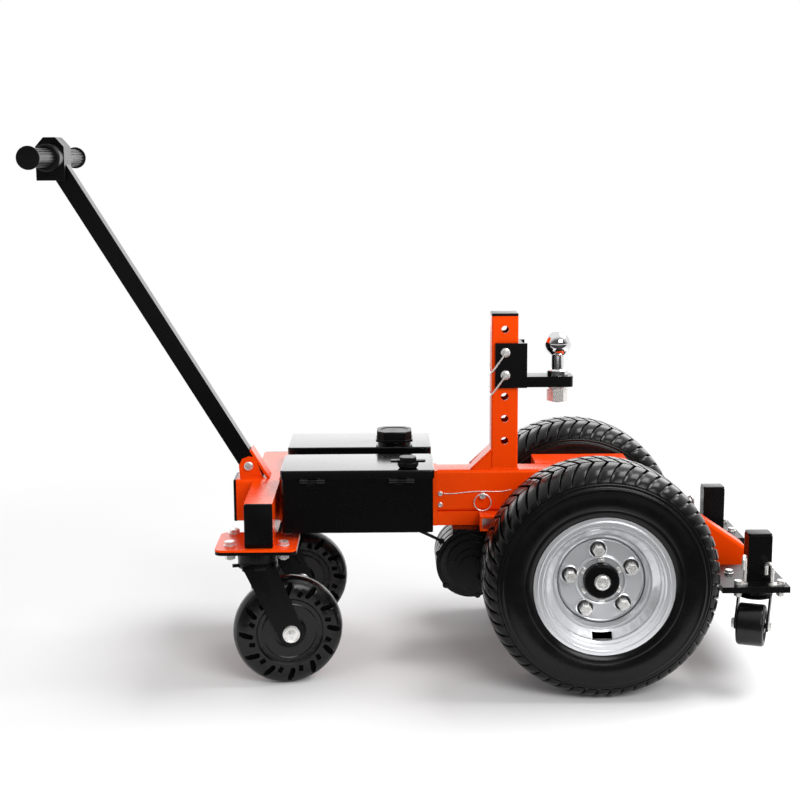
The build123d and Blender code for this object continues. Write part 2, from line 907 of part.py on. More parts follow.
def hinge_leaf(x):
    """The box's middle knuckle with its tapered leaf, and the hinge pin."""
    width = hinge_length / 3
    bush = knuckle(x - width / 2, x + width / 2)
    top, low = hinge_z - hinge_knuckle_radius - 1, hinge_z - hinge_leaf_height
    half = hinge_length / 2
    outline = [
        (x - half, top), (x + half, top), (x + half, low + 6), (x + half - 2.5, low + 2), (x + half - 7, low),
        (x - half + 7, low), (x - half + 2.5, low + 2), (x - half, low + 6),
    ]
    leaf = side_plate(outline, -box_outer - 3, -box_outer)
    neck = block(x - width / 2, x + width / 2, -hinge_y, -box_outer, top - 1.5, hinge_z)
    neck -= rod_x(-hinge_y, hinge_z, hinge_knuckle_radius, x - width / 2, x + width / 2)
    pin = rod_x(-hinge_y, hinge_z, hinge_pin_radius, x - hinge_length / 2, x + hinge_length / 2)
    return bush + leaf + neck, pin


def lid_hinges():
    parts = []
    for x in hinge_xs:
        for piece in hinge_leaf(x):
            parts += both_sides(piece)
    return parts


def battery_pack():
    x = (box_back + box_front) / 2
    y = -(box_inner + box_outer) / 2
    low = box_bottom + box_wall
    case = block(
        x - battery_length / 2, x + battery_length / 2, y - battery_width / 2, y + battery_width / 2,
        low, low + battery_height,
    )
    case = round_along(case, Axis.Z, 5)
    top = low + battery_height
    for dx in (-0.4, 0.4):
        case += rod_z(x + dx * battery_length, y, 8, top - 1, top + 7)
    return case


def motor_controller():
    x = (box_back + box_front) / 2
    y = (box_inner + box_outer) / 2
    low = box_bottom + box_wall
    half_x, half_y = controller_length / 2, controller_width / 2
    case = block(x - half_x, x + half_x, y - half_y, y + half_y, low, low + controller_height)
    pitch = controller_length / controller_fins
    for i in range(controller_fins):
        fin_x = x - half_x + (i + 0.5) * pitch
        case -= block(
            fin_x - pitch / 4, fin_x + pitch / 4, y - half_y, y + half_y,
            low + controller_height - 12, low + controller_height,
        )
    terminals = block(x + half_x, x + half_x + 18, y - 30, y + 30, low, low + 20)
    return case + terminals


def cut_square(half, cut, z0, z1):
    """An upright block with a square outline whose four corners are cut off."""
    body = block(-half, half, -half, half, z0, z1)
    return chamfer(body.edges().filter_by(Axis.Z), cut)


def power_knob():
    """A tapered base, a grip block with two thin wings, and the stem."""
    low = lid_top + curved_gap
    base_top = low + knob_base_height
    top = base_top + knob_block_height
    radius = knob_base_radius
    base = turned_z([(0, low), (radius - 3.5, low), (radius, low + 5), (radius, base_top), (0, base_top)])
    grip = cut_square(knob_block / 2, 7, base_top - 1, top)
    grip = chamfer(grip.faces().sort_by(Axis.Z)[-1].edges(), 1.5)
    half_span, half_width = knob_wing_span / 2, knob_wing_width / 2
    wings = block(-half_span, half_span, -half_width, half_width, base_top, base_top + knob_wing_height)
    wings = round_along(wings, Axis.Z, 5)
    stem = rod_z(0, 0, stem_radius, lid_top - 12, low + 1)
    return Pos(knob_x, knob_y, 0) * (base + grip + wings + stem)


def charge_cap():
    """A square cap with cut corners, its flange and a shallow round recess on top."""
    low = lid_top + charge_ring_height + curved_gap
    top = low + charge_cap_height
    body = cut_square(charge_flange_half, 14, low, low + charge_flange_height)
    body += cut_square(charge_cap_half, 13, low, top)
    body = chamfer(body.faces().sort_by(Axis.Z)[-1].edges(), 1.5)
    body -= rod_z(0, 0, charge_cap_half - 7, top - 1, top + 1)
    stem = rod_z(0, 0, stem_radius, lid_top - 8, low + 1)
    return Pos(charge_x, charge_y, 0) * (body + stem)


# Motor and gear train

def gear(teeth, width, bore):
    """A spur gear in XY whose first tooth points along +X."""
    pitch_radius = gear_module * teeth / 2
    tip = pitch_radius + 0.85 * gear_module
    root = pitch_radius - 1.2 * gear_module
    quarter = pi * gear_module / 4 - gear_backlash / 2
    lean = sin(radians(20)) / cos(radians(20))
    half_tip = (quarter - 0.85 * gear_module * lean) / tip
    half_pitch = quarter / pitch_radius
    half_root = (quarter + 0.9 * gear_module * lean) / root
    points = []
    for i in range(teeth):
        middle = 2 * pi * i / teeth
        corners = (
            (root, -half_root), (pitch_radius, -half_pitch), (tip, -half_tip),
            (tip, half_tip), (pitch_radius, half_pitch), (root, half_root),
        )
        points += [(r * cos(middle + a), r * sin(middle + a)) for r, a in corners]
    wheel = extrude(make_face(Polyline(*points, close=True)), width)
    return wheel - Cylinder(bore, 4 * width)


def gear_at(teeth, width, bore, x, z, y, first_tooth):
    """A gear about Y whose first tooth points at an angle from +X towards +Z."""
    turned = Rot(0, 0, first_tooth) * gear(teeth, width, bore)
    return Pos(x, y + width, z) * Rot(90, 0, 0) * turned


def meshing_tooth(line_angle, tooth_angle, teeth, next_teeth):
    """The tooth angle of the next gear along the line of centres."""
    past = tooth_angle - line_angle
    return line_angle + 180 + 180 / next_teeth - past * teeth / next_teeth


towards_axle = degrees(gear_angle)
reduction_tooth = meshing_tooth(towards_axle, towards_axle, pinion_teeth, reduction_teeth)
idler_tooth = meshing_tooth(towards_axle, towards_axle, small_teeth, idler_teeth)
axle_tooth = meshing_tooth(towards_axle, idler_tooth, idler_teeth, axle_teeth)


def motor_rotor():
    shaft_near, shaft_far = motor_near + motor_wall + 1, case_first_gear + gear_face
    shaft = rod_y(motor_x, motor_z, motor_shaft_radius, shaft_near, shaft_far)
    core_near, core_far = motor_near + stator_near_gap + 2, case_inner - stator_far_gap - 2
    core = rod_y(motor_x, motor_z, stator_bore - air_gap, core_near, core_far)
    pinion = gear_at(
        pinion_teeth, gear_face, motor_shaft_radius - 1, motor_x, motor_z, case_first_gear, towards_axle
    )
    return shaft + core + pinion


def reduction_gear():
    bore = gear_pin_radius + running_gap
    wheel = gear_at(
        reduction_teeth, gear_face, bore, reduction_x, reduction_z, case_first_gear, reduction_tooth
    )
    small = gear_at(
        small_teeth, axle_gear_face, bore, reduction_x, reduction_z, case_second_gear, towards_axle
    )
    sleeve = rod_y(reduction_x, reduction_z, 14, case_first_gear + gear_face, case_second_gear)
    sleeve -= rod_y(reduction_x, reduction_z, bore, case_first_gear, case_second_gear)
    return wheel + small + sleeve


def idler_gear():
    bore = gear_pin_radius + running_gap
    return gear_at(idler_teeth, axle_gear_face, bore, idler_x, idler_z, case_second_gear, idler_tooth)


def axle_gear():
    return gear_at(axle_teeth, axle_gear_face, shaft_radius, 0, tyre_radius, case_second_gear, axle_tooth)


def case_outline(extra):
    """The hull of the rooms that the gears need, seen along Y."""
    rooms = (
        (0, tyre_radius, axle_teeth),
        (reduction_x, reduction_z, reduction_teeth),
        (motor_x, motor_z, pinion_teeth + 8),
    )
    rings = [
        Pos(x, z, 0) * Circle(gear_module * (teeth / 2 + 1) + case_room + extra) for x, z, teeth in rooms
    ]
    return make_hull([edge for ring in rings for edge in ring.edges()])


def case_slab(extra, y0, y1):
    slab = extrude(case_outline(extra), y1 - y0, dir=(0, 0, 1))
    return Pos(0, y1, 0) * Rot(90, 0, 0) * slab


def gear_case():
    """A cast case that is open on the far side, and its flat cover."""
    cover_inner = case_outer - case_wall
    case = case_slab(case_wall, case_inner, cover_inner)
    case -= case_slab(0, case_inner + case_wall, cover_inner + 1)
    case += rod_y(reduction_x, reduction_z, gear_pin_radius, case_inner + 1, cover_inner)
    case += rod_y(reduction_x, reduction_z, gear_pin_radius + 5, case_inner + 1, case_first_gear - side_gap)
    case -= rod_y(motor_x, motor_z, motor_shaft_radius + side_gap, case_inner - 1, case_first_gear)
    case -= rod_y(0, tyre_radius, shaft_radius + side_gap, case_inner - 1, case_first_gear)
    cover = case_slab(case_wall, cover_inner, case_outer)
    cover += rod_y(idler_x, idler_z, gear_pin_radius, case_second_gear - 1, cover_inner + 1)
    far_face = case_second_gear + axle_gear_face + side_gap
    cover += rod_y(idler_x, idler_z, gear_pin_radius + 5, far_face, cover_inner + 1)
    cover -= rod_y(0, tyre_radius, shaft_radius + side_gap, cover_inner - 1, case_outer + 1)
    return case, cover


def motor_housing():
    """The ribbed drum with its stepped near end and cable gland, and its saddle."""
    steps = ((57, 7), (46, 6), (31, 4), (20, 4))
    drum = rod_y(motor_x, motor_z, motor_radius, motor_near, case_inner)
    y = motor_near
    for radius, depth in steps:
        drum += rod_y(motor_x, motor_z, radius, y - depth, y + 1)
        y -= depth
    for y_groove in (motor_near + 12, motor_near + 46, case_inner - 20):
        groove = rod_y(motor_x, motor_z, motor_radius + 1, y_groove, y_groove + 8)
        drum -= groove - rod_y(motor_x, motor_z, motor_radius - 2, y_groove, y_groove + 8)
    for i in range(motor_lugs):
        angle = radians(360 * (i + 0.5) / motor_lugs + 12)
        x = motor_x + (motor_radius - 2) * cos(angle)
        z = motor_z + (motor_radius - 2) * sin(angle)
        if z < rail_bottom - 8:
            drum += rod_y(x, z, 6, motor_near + 1, motor_near + 11)
            drum += rod_y(x, z, 3.5, motor_near - 4, motor_near + 2)
    end, before = Vector(*cable_points()[-1]), Vector(*cable_points()[-2])
    inward = (end - before).normalized()
    drum += Plane(origin=end, z_dir=inward) * Pos(0, 0, 9) * Cylinder(cable_radius + 3, 18)
    inner = motor_radius - motor_wall
    drum -= rod_y(motor_x, motor_z, inner, motor_near + motor_wall, case_inner + 1)
    return drum, motor_saddle()


def motor_saddle():
    """The ribbed block between the drum and the rail."""
    back, front = motor_x - saddle_back, motor_x + saddle_front
    saddle = block(back, front, motor_near + 4, -8, motor_z + saddle_drop, rail_bottom)
    saddle -= rod_y(motor_x, motor_z, motor_radius, motor_near - 1, 0)
    for i in range(3):
        z = rail_bottom - 4 - i * 5
        saddle -= block(back - 1, front + 1, motor_near + 3, motor_near + 6, z - 2, z)
    return saddle


def motor_stator():
    outer = motor_radius - motor_wall
    y0, y1 = motor_near + stator_near_gap, case_inner - stator_far_gap
    return rod_y(motor_x, motor_z, outer, y0, y1) - rod_y(motor_x, motor_z, stator_bore, y0, y1)


def ball_bearing(x, z, bore, outer, y):
    return rod_y(x, z, outer, y, y + bearing_width) - rod_y(x, z, bore, y, y + bearing_width)


def shaft_bearings():
    tube_bore = axle_tube_radius - axle_tube_wall
    seat = motor_radius - motor_wall
    motor_bore = motor_shaft_radius + running_gap
    axle_bore = shaft_radius + running_gap
    reach = axle_tube_reach
    return [
        ball_bearing(motor_x, motor_z, motor_bore, seat, motor_near + motor_wall),
        ball_bearing(motor_x, motor_z, motor_bore, seat, case_inner - bearing_width),
        ball_bearing(0, tyre_radius, axle_bore, tube_bore, -reach),
        ball_bearing(0, tyre_radius, axle_bore, tube_bore, case_inner - bearing_width - 4),
        ball_bearing(0, tyre_radius, axle_bore, tube_bore, reach - bearing_width),
        ball_bearing(0, tyre_radius, axle_bore, tube_bore, case_outer + 4),
    ]


def axle_tube(y0, y1):
    tube = rod_y(0, tyre_radius, axle_tube_radius, y0, y1)
    return tube - rod_y(0, tyre_radius, axle_tube_radius - axle_tube_wall, y0, y1)


# Drive wheels, made at the origin with the outboard side towards -Y

def tyre_section():
    """The tyre's C-shaped section in (radius, y), open at the beads."""
    half = tyre_width / 2
    bead_y = rim_half_width - 3
    crown = tyre_radius - 7
    inner_crown = tyre_radius - tyre_wall - 3
    side = (tyre_radius + tyre_bead_radius) / 2 + 4
    toe = bead_y - 12
    outer = [
        Line((tyre_bead_radius, toe), (tyre_bead_radius, bead_y)),
        Line((tyre_bead_radius, bead_y), (rim_flange_radius, bead_y)),
        ThreePointArc((rim_flange_radius, bead_y), (side, half), (crown - 6, tread_half + 6)),
        ThreePointArc((crown - 6, tread_half + 6), (crown - 1, tread_half + 3), (crown, tread_half)),
        ThreePointArc((crown, tread_half), (tyre_radius, 0), (crown, -tread_half)),
        ThreePointArc((crown, -tread_half), (crown - 1, -tread_half - 3), (crown - 6, -tread_half - 6)),
        ThreePointArc((crown - 6, -tread_half - 6), (side, -half), (rim_flange_radius, -bead_y)),
        Line((rim_flange_radius, -bead_y), (tyre_bead_radius, -bead_y)),
        Line((tyre_bead_radius, -bead_y), (tyre_bead_radius, -toe)),
        ThreePointArc((tyre_bead_radius, -toe), (side, -half + tyre_wall), (inner_crown, -tread_half + 10)),
        ThreePointArc((inner_crown, -tread_half + 10), (inner_crown + 4, 0), (inner_crown, tread_half - 10)),
        ThreePointArc((inner_crown, tread_half - 10), (side, half - tyre_wall), (tyre_bead_radius, toe)),
    ]
    return make_face(outer)


def drive_tyre():
    tyre = revolve(tyre_section(), Axis.Y)
    centre_line = rod_y(0, 0, tyre_radius + 5, -1.5, 1.5) - rod_y(0, 0, tyre_radius - 5, -1.5, 1.5)
    return tyre - centre_line


def drive_rim():
    """The pressed rim with its offset disc, bolt holes and hand hole."""
    well, seat, flange = rim_well_radius, tyre_bead_radius, rim_flange_radius
    half = rim_half_width
    w = rim_wall
    side = [
        (well, half - 29), (seat, half - 20), (seat, half - 3), (flange, half - 3), (flange, half),
        (flange - 15, half), (seat - w, half - 9), (seat - w, half - 18), (well - w, half - 27),
    ]
    other = [(r, -y) for r, y in reversed(side)]
    rim = turned_y(side + other)
    rim_y = rim_disc_offset
    disc = turned_y([
        (rim_bore_radius, rim_y - w), (rim_bore_radius, rim_y), (rim_disc_radius - 2, rim_y),
        (rim_disc_radius + 7, rim_y + 12), (well - w + 1, rim_y + 12), (well - w + 1, rim_y + 12 - w),
        (rim_disc_radius + 9, rim_y + 12 - w), (rim_disc_radius, rim_y - w),
    ])
    rim = mirrored(rim + disc)
    for angle in lug_angles():
        x, z = lug_place(angle)
        rim -= rod_y(x, z, stud_radius + side_gap, -rim_y - 5, -rim_y + 10)
    slot = Pos(0, -half + 24, -(seat - 10)) * Box(hand_hole_length, 16, hand_hole_width)
    return rim - slot


def lug_angles():
    return [lug_first_angle - 360 / lug_count * i for i in range(lug_count)]


def lug_place(angle):
    return lug_circle / 2 * cos(radians(angle)), lug_circle / 2 * sin(radians(angle))


def lug_nuts():
    """Closed nuts with their studs, through the disc into the hub flange."""
    nuts = []
    face = -rim_disc_offset
    for angle in lug_angles():
        x, z = lug_place(angle)
        nut = hex_y(x, z, lug_nut_across, face - lug_nut_length, face)
        end = nut.faces().sort_by(Axis.Y)[0]
        nut = chamfer(end.edges(), 2.5)
        nuts.append(nut + rod_y(x, z, stud_radius, face - 1, face + rim_wall + hub_flange_thickness))
    return nuts


def wheel_hub(shaft_end):
    """Hub flange and boss in one piece with its half shaft."""
    back = -rim_disc_offset + rim_wall
    hub = rod_y(0, 0, hub_flange_radius, back, back + hub_flange_thickness)
    hub += rod_y(0, 0, rim_bore_radius - side_gap, back - rim_wall - hub_boss_length, back + 1)
    hub = chamfer(hub.faces().sort_by(Axis.Y)[0].edges(), 3)
    hub += rod_y(0, 0, 14, back - rim_wall - hub_boss_length - 5, back)
    hub += rod_y(0, 0, shaft_radius, back, shaft_end)
    for angle in lug_angles():
        x, z = lug_place(angle)
        hub -= rod_y(x, z, stud_radius + running_gap, back - 1, back + hub_flange_thickness + 1)
    return hub


def at_near_wheel(shape):
    return Pos(0, -tyre_y, tyre_radius) * shape


def at_far_wheel(shape):
    return mirrored(at_near_wheel(shape))


# Rear casters, made about their swivel line with the trail along +X and then turned

def turned_rear(shape, side):
    return Pos(caster_swivel_x, side * caster_y, 0) * Rot(0, 0, caster_turn) * shape


def rear_fork():
    """Crown, two raked legs and the swivel drum, with its grease nipple."""
    inner = caster_wheel_width / 2 + caster_leg_gap
    outer = inner + caster_leg_thickness
    top, z, trail = caster_crown_top, caster_wheel_radius, caster_trail
    low = top - caster_leg_thickness
    outline = [
        (-32, top), (28, top), (trail + 24, z + 2), (trail + 18, z - 16),
        (trail + 7, z - 24), (trail - 7, z - 24), (trail - 18, z - 15), (trail - 24, z - 2),
    ]
    legs = side_plate(outline, -outer, -inner) + side_plate(outline, inner, outer)
    crown = block(-32, 28, -outer, outer, low, top) + rod_z(0, 0, caster_crown_radius, low, top)
    nipple = rod_x(0, top - 2.5, 3.3, -caster_crown_radius - 10, -25)
    fork = legs + crown + swivel_drum() + nipple
    return fork - rod_y(trail, z, caster_axle_radius, -outer - 1, outer + 1)


def swivel_drum():
    radius, low = caster_crown_radius, caster_crown_top
    top = race_bottom - curved_gap
    return turned_z([
        (0, low - 1), (radius, low - 1), (radius, low + 4),
        (radius - 1.5, low + 5), (radius - 1.5, low + 6.5), (radius, low + 7.5),
        (radius, top - 5), (radius - 3, top - 2.5), (radius - 3, top), (0, top),
    ])


def rear_axle():
    outer = caster_wheel_width / 2 + caster_leg_gap + caster_leg_thickness
    axle = rod_y(caster_trail, caster_wheel_radius, caster_axle_radius, -outer - 1, outer + 1)
    cap = rod_y(caster_trail, caster_wheel_radius, caster_head_cap_radius, -outer - 5, -outer)
    cap = chamfer(cap.faces().sort_by(Axis.Y)[0].edges(), 1.5)
    return axle + cap + mirrored(cap)


def rear_wheel_section():
    r, half = caster_wheel_radius, caster_wheel_width / 2
    core = caster_core_radius
    bore = caster_axle_radius + running_gap
    side = [
        (bore, half), (24, half), (30, half - 5),
        (core - 14, half - 5), (core - 12, half - 4), (core - 10, half - 5),
        (core - 3, half - 4), (core, half - 1), (r - 22, half),
        (r - 12, half - 3), (r - 4, half - 10), (r, half - 20),
    ]
    other = [(radius, -y) for radius, y in reversed(side)]
    return side + other


def rear_wheel():
    """A solid rubber wheel with wedge notches and square dimples on both shoulders."""
    wheel = turned_y(rear_wheel_section())
    for side in (-1, 1):
        for i in range(caster_notches):
            angle = 360 * (i + (0.5 if side > 0 else 0)) / caster_notches
            wheel -= Rot(0, angle, 0) * shoulder_notch(side)
            wheel -= Rot(0, angle + 180 / caster_notches, 0) * shoulder_dimple(side)
    return Pos(caster_trail, 0, caster_wheel_radius) * wheel


def shoulder_notch(side):
    """A lens-shaped wedge, tilted off the radius, that runs out over the tread."""
    r = caster_wheel_radius
    half = caster_wheel_width / 2
    middle = r - 16
    lens = [(-17, -2), (-14, -4.5), (0, -5), (19, -1.5), (19, 1.5), (0, 5), (-14, 4.5), (-17, 2)]
    y0, y1 = sorted((side * (half - 7), side * (half + 2)))
    wedge = Rot(0, caster_notch_tilt, 0) * side_plate(lens, y0, y1)
    return Pos(middle, 0, 0) * wedge


def shoulder_dimple(side):
    r = caster_wheel_radius - 28
    half = caster_wheel_width / 2
    return Pos(r, side * half, 0) * Rot(0, caster_notch_tilt, 0) * Box(11, 6, 8)


# Front casters, near side, made with the trail along -X and then turned

def small_fork_parts():
    r, half = small_wheel_radius, small_wheel_width / 2
    inner = half + small_leg_gap
    outer = inner + small_leg_thickness
    top = small_wheel_top_plate - small_plate_thickness
    crown_top = top - small_crown_drop
    z = small_wheel_height
    outline = [
        (-14, crown_top), (16, crown_top), (-small_trail + 11, z + 4), (-small_trail + 7, z - 9),
        (-small_trail - 7, z - 9), (-small_trail - 12, z + 2),
    ]
    legs = side_plate(outline, -outer, -inner) + side_plate(outline, inner, outer)
    crown = block(-14, 16, -outer, outer, crown_top - 3, crown_top)
    crown += rod_z(0, 0, small_crown_radius - 3, crown_top - 3, crown_top)
    head = rod_z(0, 0, 24, crown_top - 1, top - curved_gap)
    fork = legs + crown + head
    fork -= rod_y(-small_trail, z, small_axle_radius, -60, 60)
    axle = rod_y(-small_trail, z, small_axle_radius, -outer - 1, outer + 1)
    for side in (-1, 1):
        y0, y1 = sorted((side * outer, side * (outer + 5)))
        axle += hex_y(-small_trail, z, 15, y0, y1)
    return fork, axle


def turned_small(shape):
    return Pos(small_swivel_x, -post_y, 0) * Rot(0, 0, small_turn) * shape


def small_wheel():
    r, half = small_wheel_radius, small_wheel_width / 2
    side = [
        (small_axle_radius + running_gap, half), (12, half), (14, half - 5), (r - 11, half - 5),
        (r - 8, half), (r - 3, half), (r, half - 3),
    ]
    other = [(radius, -y) for radius, y in reversed(side)]
    wheel = turned_y(side + other)
    return turned_small(Pos(-small_trail, 0, small_wheel_height) * wheel)


def small_caster_plate():
    top = small_wheel_top_plate
    spread_x, spread_y = front_bolt_spacing_x / 2 + 3, front_bolt_spacing_y / 2 + 8
    plate = block(
        front_bolt_x - spread_x, front_bolt_x + spread_x, -post_y - spread_y, -post_y + spread_y,
        top - small_plate_thickness, top,
    )
    for x, y in front_bolt_places():
        plate -= rod_z(x, y, bolt_hole_radius, top - small_plate_thickness - 1, top + 1)
    return plate


# Handle

def along_handle(station, side):
    """The (x, z) point at a station up the handle and a distance to its front."""
    x = handle_pivot_x + handle_dir.X * station + handle_side.X * side
    z = handle_pivot_z + handle_dir.Z * station + handle_side.Z * side
    return x, z


def handle_strip(station0, station1, side0, side1, y0, y1):
    corners = [
        along_handle(station0, side0), along_handle(station1, side0),
        along_handle(station1, side1), along_handle(station0, side1),
    ]
    return side_plate(corners, y0, y1)


handle_top = handle_reach - bar_radius - 4


def handle_tube():
    half = handle_tube_size / 2
    inner = half - handle_tube_wall
    tube = handle_strip(0, handle_top, -half, half, -half, half)
    tube += rod_y(handle_pivot_x, handle_pivot_z, half, -half, half)
    tube -= handle_strip(-half, handle_top + 1, -inner, inner, -inner, inner)
    tube -= rod_y(handle_pivot_x, handle_pivot_z, handle_bolt_radius + running_gap, -half - 1, half + 1)
    x, z = along_handle(handle_bolt_station, 0)
    cross = Pos(x, 0, z) * Rot(0, 90 - handle_angle, 0) * Rot(0, 90, 0) * Cylinder(3.1, handle_tube_size + 4)
    return tube - cross


def handle_bolt():
    """The small bolt across the handle tube, below the head."""
    half = handle_tube_size / 2
    x, z = along_handle(handle_bolt_station, 0)
    bolt = Cylinder(3.0, handle_tube_size + 4)
    bolt += Pos(0, 0, half + 2) * Cylinder(5.5, 4)
    bolt += Pos(0, 0, -half - 5) * extrude(RegularPolygon(5, 6, major_radius=False), 5)
    return Pos(x, 0, z) * Rot(0, 90 - handle_angle, 0) * Rot(0, 90, 0) * bolt


def handle_pivot_bolt():
    y = handle_tube_size / 2 + side_gap + clevis_cheek
    bolt = rod_y(handle_pivot_x, handle_pivot_z, handle_bolt_radius, -y - 1, y + 3)
    head = rod_y(handle_pivot_x, handle_pivot_z, 8.8, -y - 5.5, -y)
    head = fillet(head.faces().sort_by(Axis.Y)[0].edges(), 3)
    nut = hex_y(handle_pivot_x, handle_pivot_z, 17, y, y + 8)
    return bolt + head + nut


def handle_clevis():
    """Two rounded cheeks and the sloping plate that the handle rests against."""
    inner = handle_tube_size / 2 + side_gap
    outer = inner + clevis_cheek
    x, z = handle_pivot_x, handle_pivot_z
    base = rear_beam_top
    stop_low = along_handle(-(z - base) / handle_dir.Z + 6, handle_tube_size / 2 + curved_gap)
    outline = [
        (x - 17, base), (x - 19, z), (x - 13, z + 13), (x, z + 18), (x + 6, z + 17),
        along_handle(12, handle_tube_size / 2 + 4), (stop_low[0], base),
    ]
    clevis = side_plate(outline, -outer, -inner) + side_plate(outline, inner, outer)
    near = handle_tube_size / 2 + curved_gap
    plate = handle_strip(-60, 24, near, near + clevis_plate, -outer, outer)
    plate -= block(x - 100, x + 100, -60, 60, base - 100, base)
    clevis += plate
    return clevis - rod_y(x, z, handle_bolt_radius, -outer - 1, outer + 1)


def head_outline(inset):
    half = head_width / 2 - inset
    low, top = bar_z - head_below + inset, bar_z + head_above - inset
    side, down = head_chamfer_side, head_chamfer_down
    return [
        (bar_x - half, low), (bar_x + half, low), (bar_x + half, top - down),
        (bar_x + half - side, top), (bar_x - half + side, top), (bar_x - half, top - down),
    ]


def control_head():
    """The hollow head, with holes for the handle tube, the bar and the rocker."""
    half = head_depth / 2
    head = side_plate(head_outline(0), -half, half)
    head -= side_plate(head_outline(head_wall), -half + head_wall, half - head_wall)
    size = handle_tube_size / 2 + 0.1
    head -= handle_strip(0, handle_top + 1, -size, size, -size, size)
    head -= rod_y(bar_x, bar_z, bar_radius + 0.1, -half - 1, half + 1)
    low = bar_z - rocker_height / 2 - side_gap + rocker_offset()
    head -= block(
        bar_x - head_width, bar_x - head_width / 2 + head_wall + 1, -rocker_width / 2 - side_gap,
        rocker_width / 2 + side_gap, low, low + rocker_height + 2 * side_gap,
    )
    return head


def rocker_offset():
    return -head_below / 2 + 2


def direction_rocker():
    """A rocker that turns about Y inside the head's back wall."""
    x = bar_x - head_width / 2 + head_wall / 2
    z = bar_z + rocker_offset()
    half = rocker_height / 2 - 0.8
    back = bar_x - head_width / 2 - rocker_proud
    profile = [
        (x + 3, z - half + 2), (back, z - half + 1), (back + 1.5, z),
        (back, z + half - 1), (x + 3, z + half - 2),
    ]
    return side_plate(profile, -rocker_width / 2, rocker_width / 2)


def handlebar():
    bar = rod_y(bar_x, bar_z, bar_radius, -bar_half_length, bar_half_length)
    return bar - rod_y(bar_x, bar_z, bar_radius - 2, -bar_half_length - 1, bar_half_length + 1)


def ribbed_grip(bore):
    """A near-side rubber grip with long ribs and a flange at its outer end."""
    end = -bar_half_length - grip_flange
    start = -grip_start
    grip = rod_y(0, 0, grip_radius, end, start)
    grip += rod_y(0, 0, grip_flange_radius, end, end + grip_flange)
    grip = fillet(grip.edges().filter_by(GeomType.CIRCLE).sort_by(Axis.Y)[0], 1.5)
    for i in range(grip_ribs):
        groove = Pos(grip_radius, (start + end) / 2 + 1, 0) * Box(3, start - end - 14, 2.4)
        grip -= Rot(0, 360 * i / grip_ribs, 0) * groove
    grip -= rod_y(0, 0, bore, -bar_half_length, start + 1)
    return grip


def throttle_grip():
    grip = ribbed_grip(bar_radius + running_gap)
    collar = rod_y(0, 0, throttle_collar_radius, -grip_start - 1, -head_depth / 2 - curved_gap)
    collar = chamfer(collar.faces().sort_by(Axis.Y)[0].edges(), 3)
    collar -= rod_y(0, 0, bar_radius + running_gap, -grip_start - 2, 0)
    return Pos(bar_x, 0, bar_z) * (grip + collar)


def fixed_grip():
    collar = rod_y(0, 0, grip_flange_radius, -grip_start - 1, -grip_start + 5)
    collar -= rod_y(0, 0, bar_radius, -grip_start - 2, 0)
    return Pos(bar_x, 0, bar_z) * mirrored(ribbed_grip(bar_radius) + collar)


# Pull pin, lanyard and cable

def release_pin():
    face = -beam_width / 2
    pin = rod_y(release_x, release_z, release_radius, face - 3, face + 26)
    head = rod_y(release_x, release_z, release_head_radius, face - 10, face - 1)
    head = fillet(head.faces().sort_by(Axis.Y)[0].edges(), 2)
    ring_z = release_z + release_ring_hang - release_ring_radius
    ring_place = Pos(release_x, face - 6, ring_z) * Rot(90, 0, 0)
    head -= ring_place * Torus(release_ring_radius, release_ring_wire + 0.3)
    return pin + head, ring_place * Torus(release_ring_radius, release_ring_wire)


def lanyard_points():
    """From the upper bolt over the pull pin's head, close to the beam's side."""
    face = -beam_width / 2 - lanyard_radius - 0.5
    top = beam_bolt_top
    return [
        (beam_bolt_x + 6.5, face, top),
        (beam_bolt_x + 20, face - 0.6, top - 0.6),
        (beam_bolt_x + 48, face - 1.2, top + 2.6),
        (release_x - 4, face - 1.8, top + 4.6),
        (release_x + 24, face - 1.4, top + 3.4),
        (release_x + 44, face - 1.0, top + 4.2),
        (release_x + 54, face - 0.6, top + 7.4),
    ]


def corner_radii(points, share=0.45):
    """For each corner, the largest arc that its two runs allow, and the turns."""
    vectors = [Vector(*point) for point in points]
    radii = []
    for i in range(1, len(vectors) - 1):
        before, after = vectors[i] - vectors[i - 1], vectors[i + 1] - vectors[i]
        turn = radians(before.get_angle(after))
        half_tangent = sin(turn / 2) / cos(turn / 2)
        radii.append(share * min(before.length, after.length) / half_tangent)
    return radii


def held_cord(name, points, radius):
    """A cord along its route, with its bend radii printed."""
    radii = corner_radii(points)
    path = FilletPolyline(*points, radius=radii)
    start = path.edges()[0]
    cord = sweep(Plane(origin=start @ 0, z_dir=start % 0) * Circle(radius), path=path)
    print(name, "length", round(path.length, 1), "radii", [round(r, 1) for r in radii])
    print(name, "volume over section times length", round(cord.volume / (pi * radius**2 * path.length), 4))
    return cord


def cable_points():
    start_x = box_front - 44
    start_y = -box_outer + 78
    return [
        (start_x, start_y, box_bottom - 3.0),
        (start_x + 5, start_y + 2, box_bottom - 9),
        (start_x + 15, start_y + 7, box_bottom - 16),
        (start_x + 29, start_y + 16, box_bottom - 25),
        (start_x + 44, start_y + 28, box_bottom - 35),
        (start_x + 57, start_y + 41, box_bottom - 45),
        (start_x + 64, start_y + 52, box_bottom - 52),
    ]


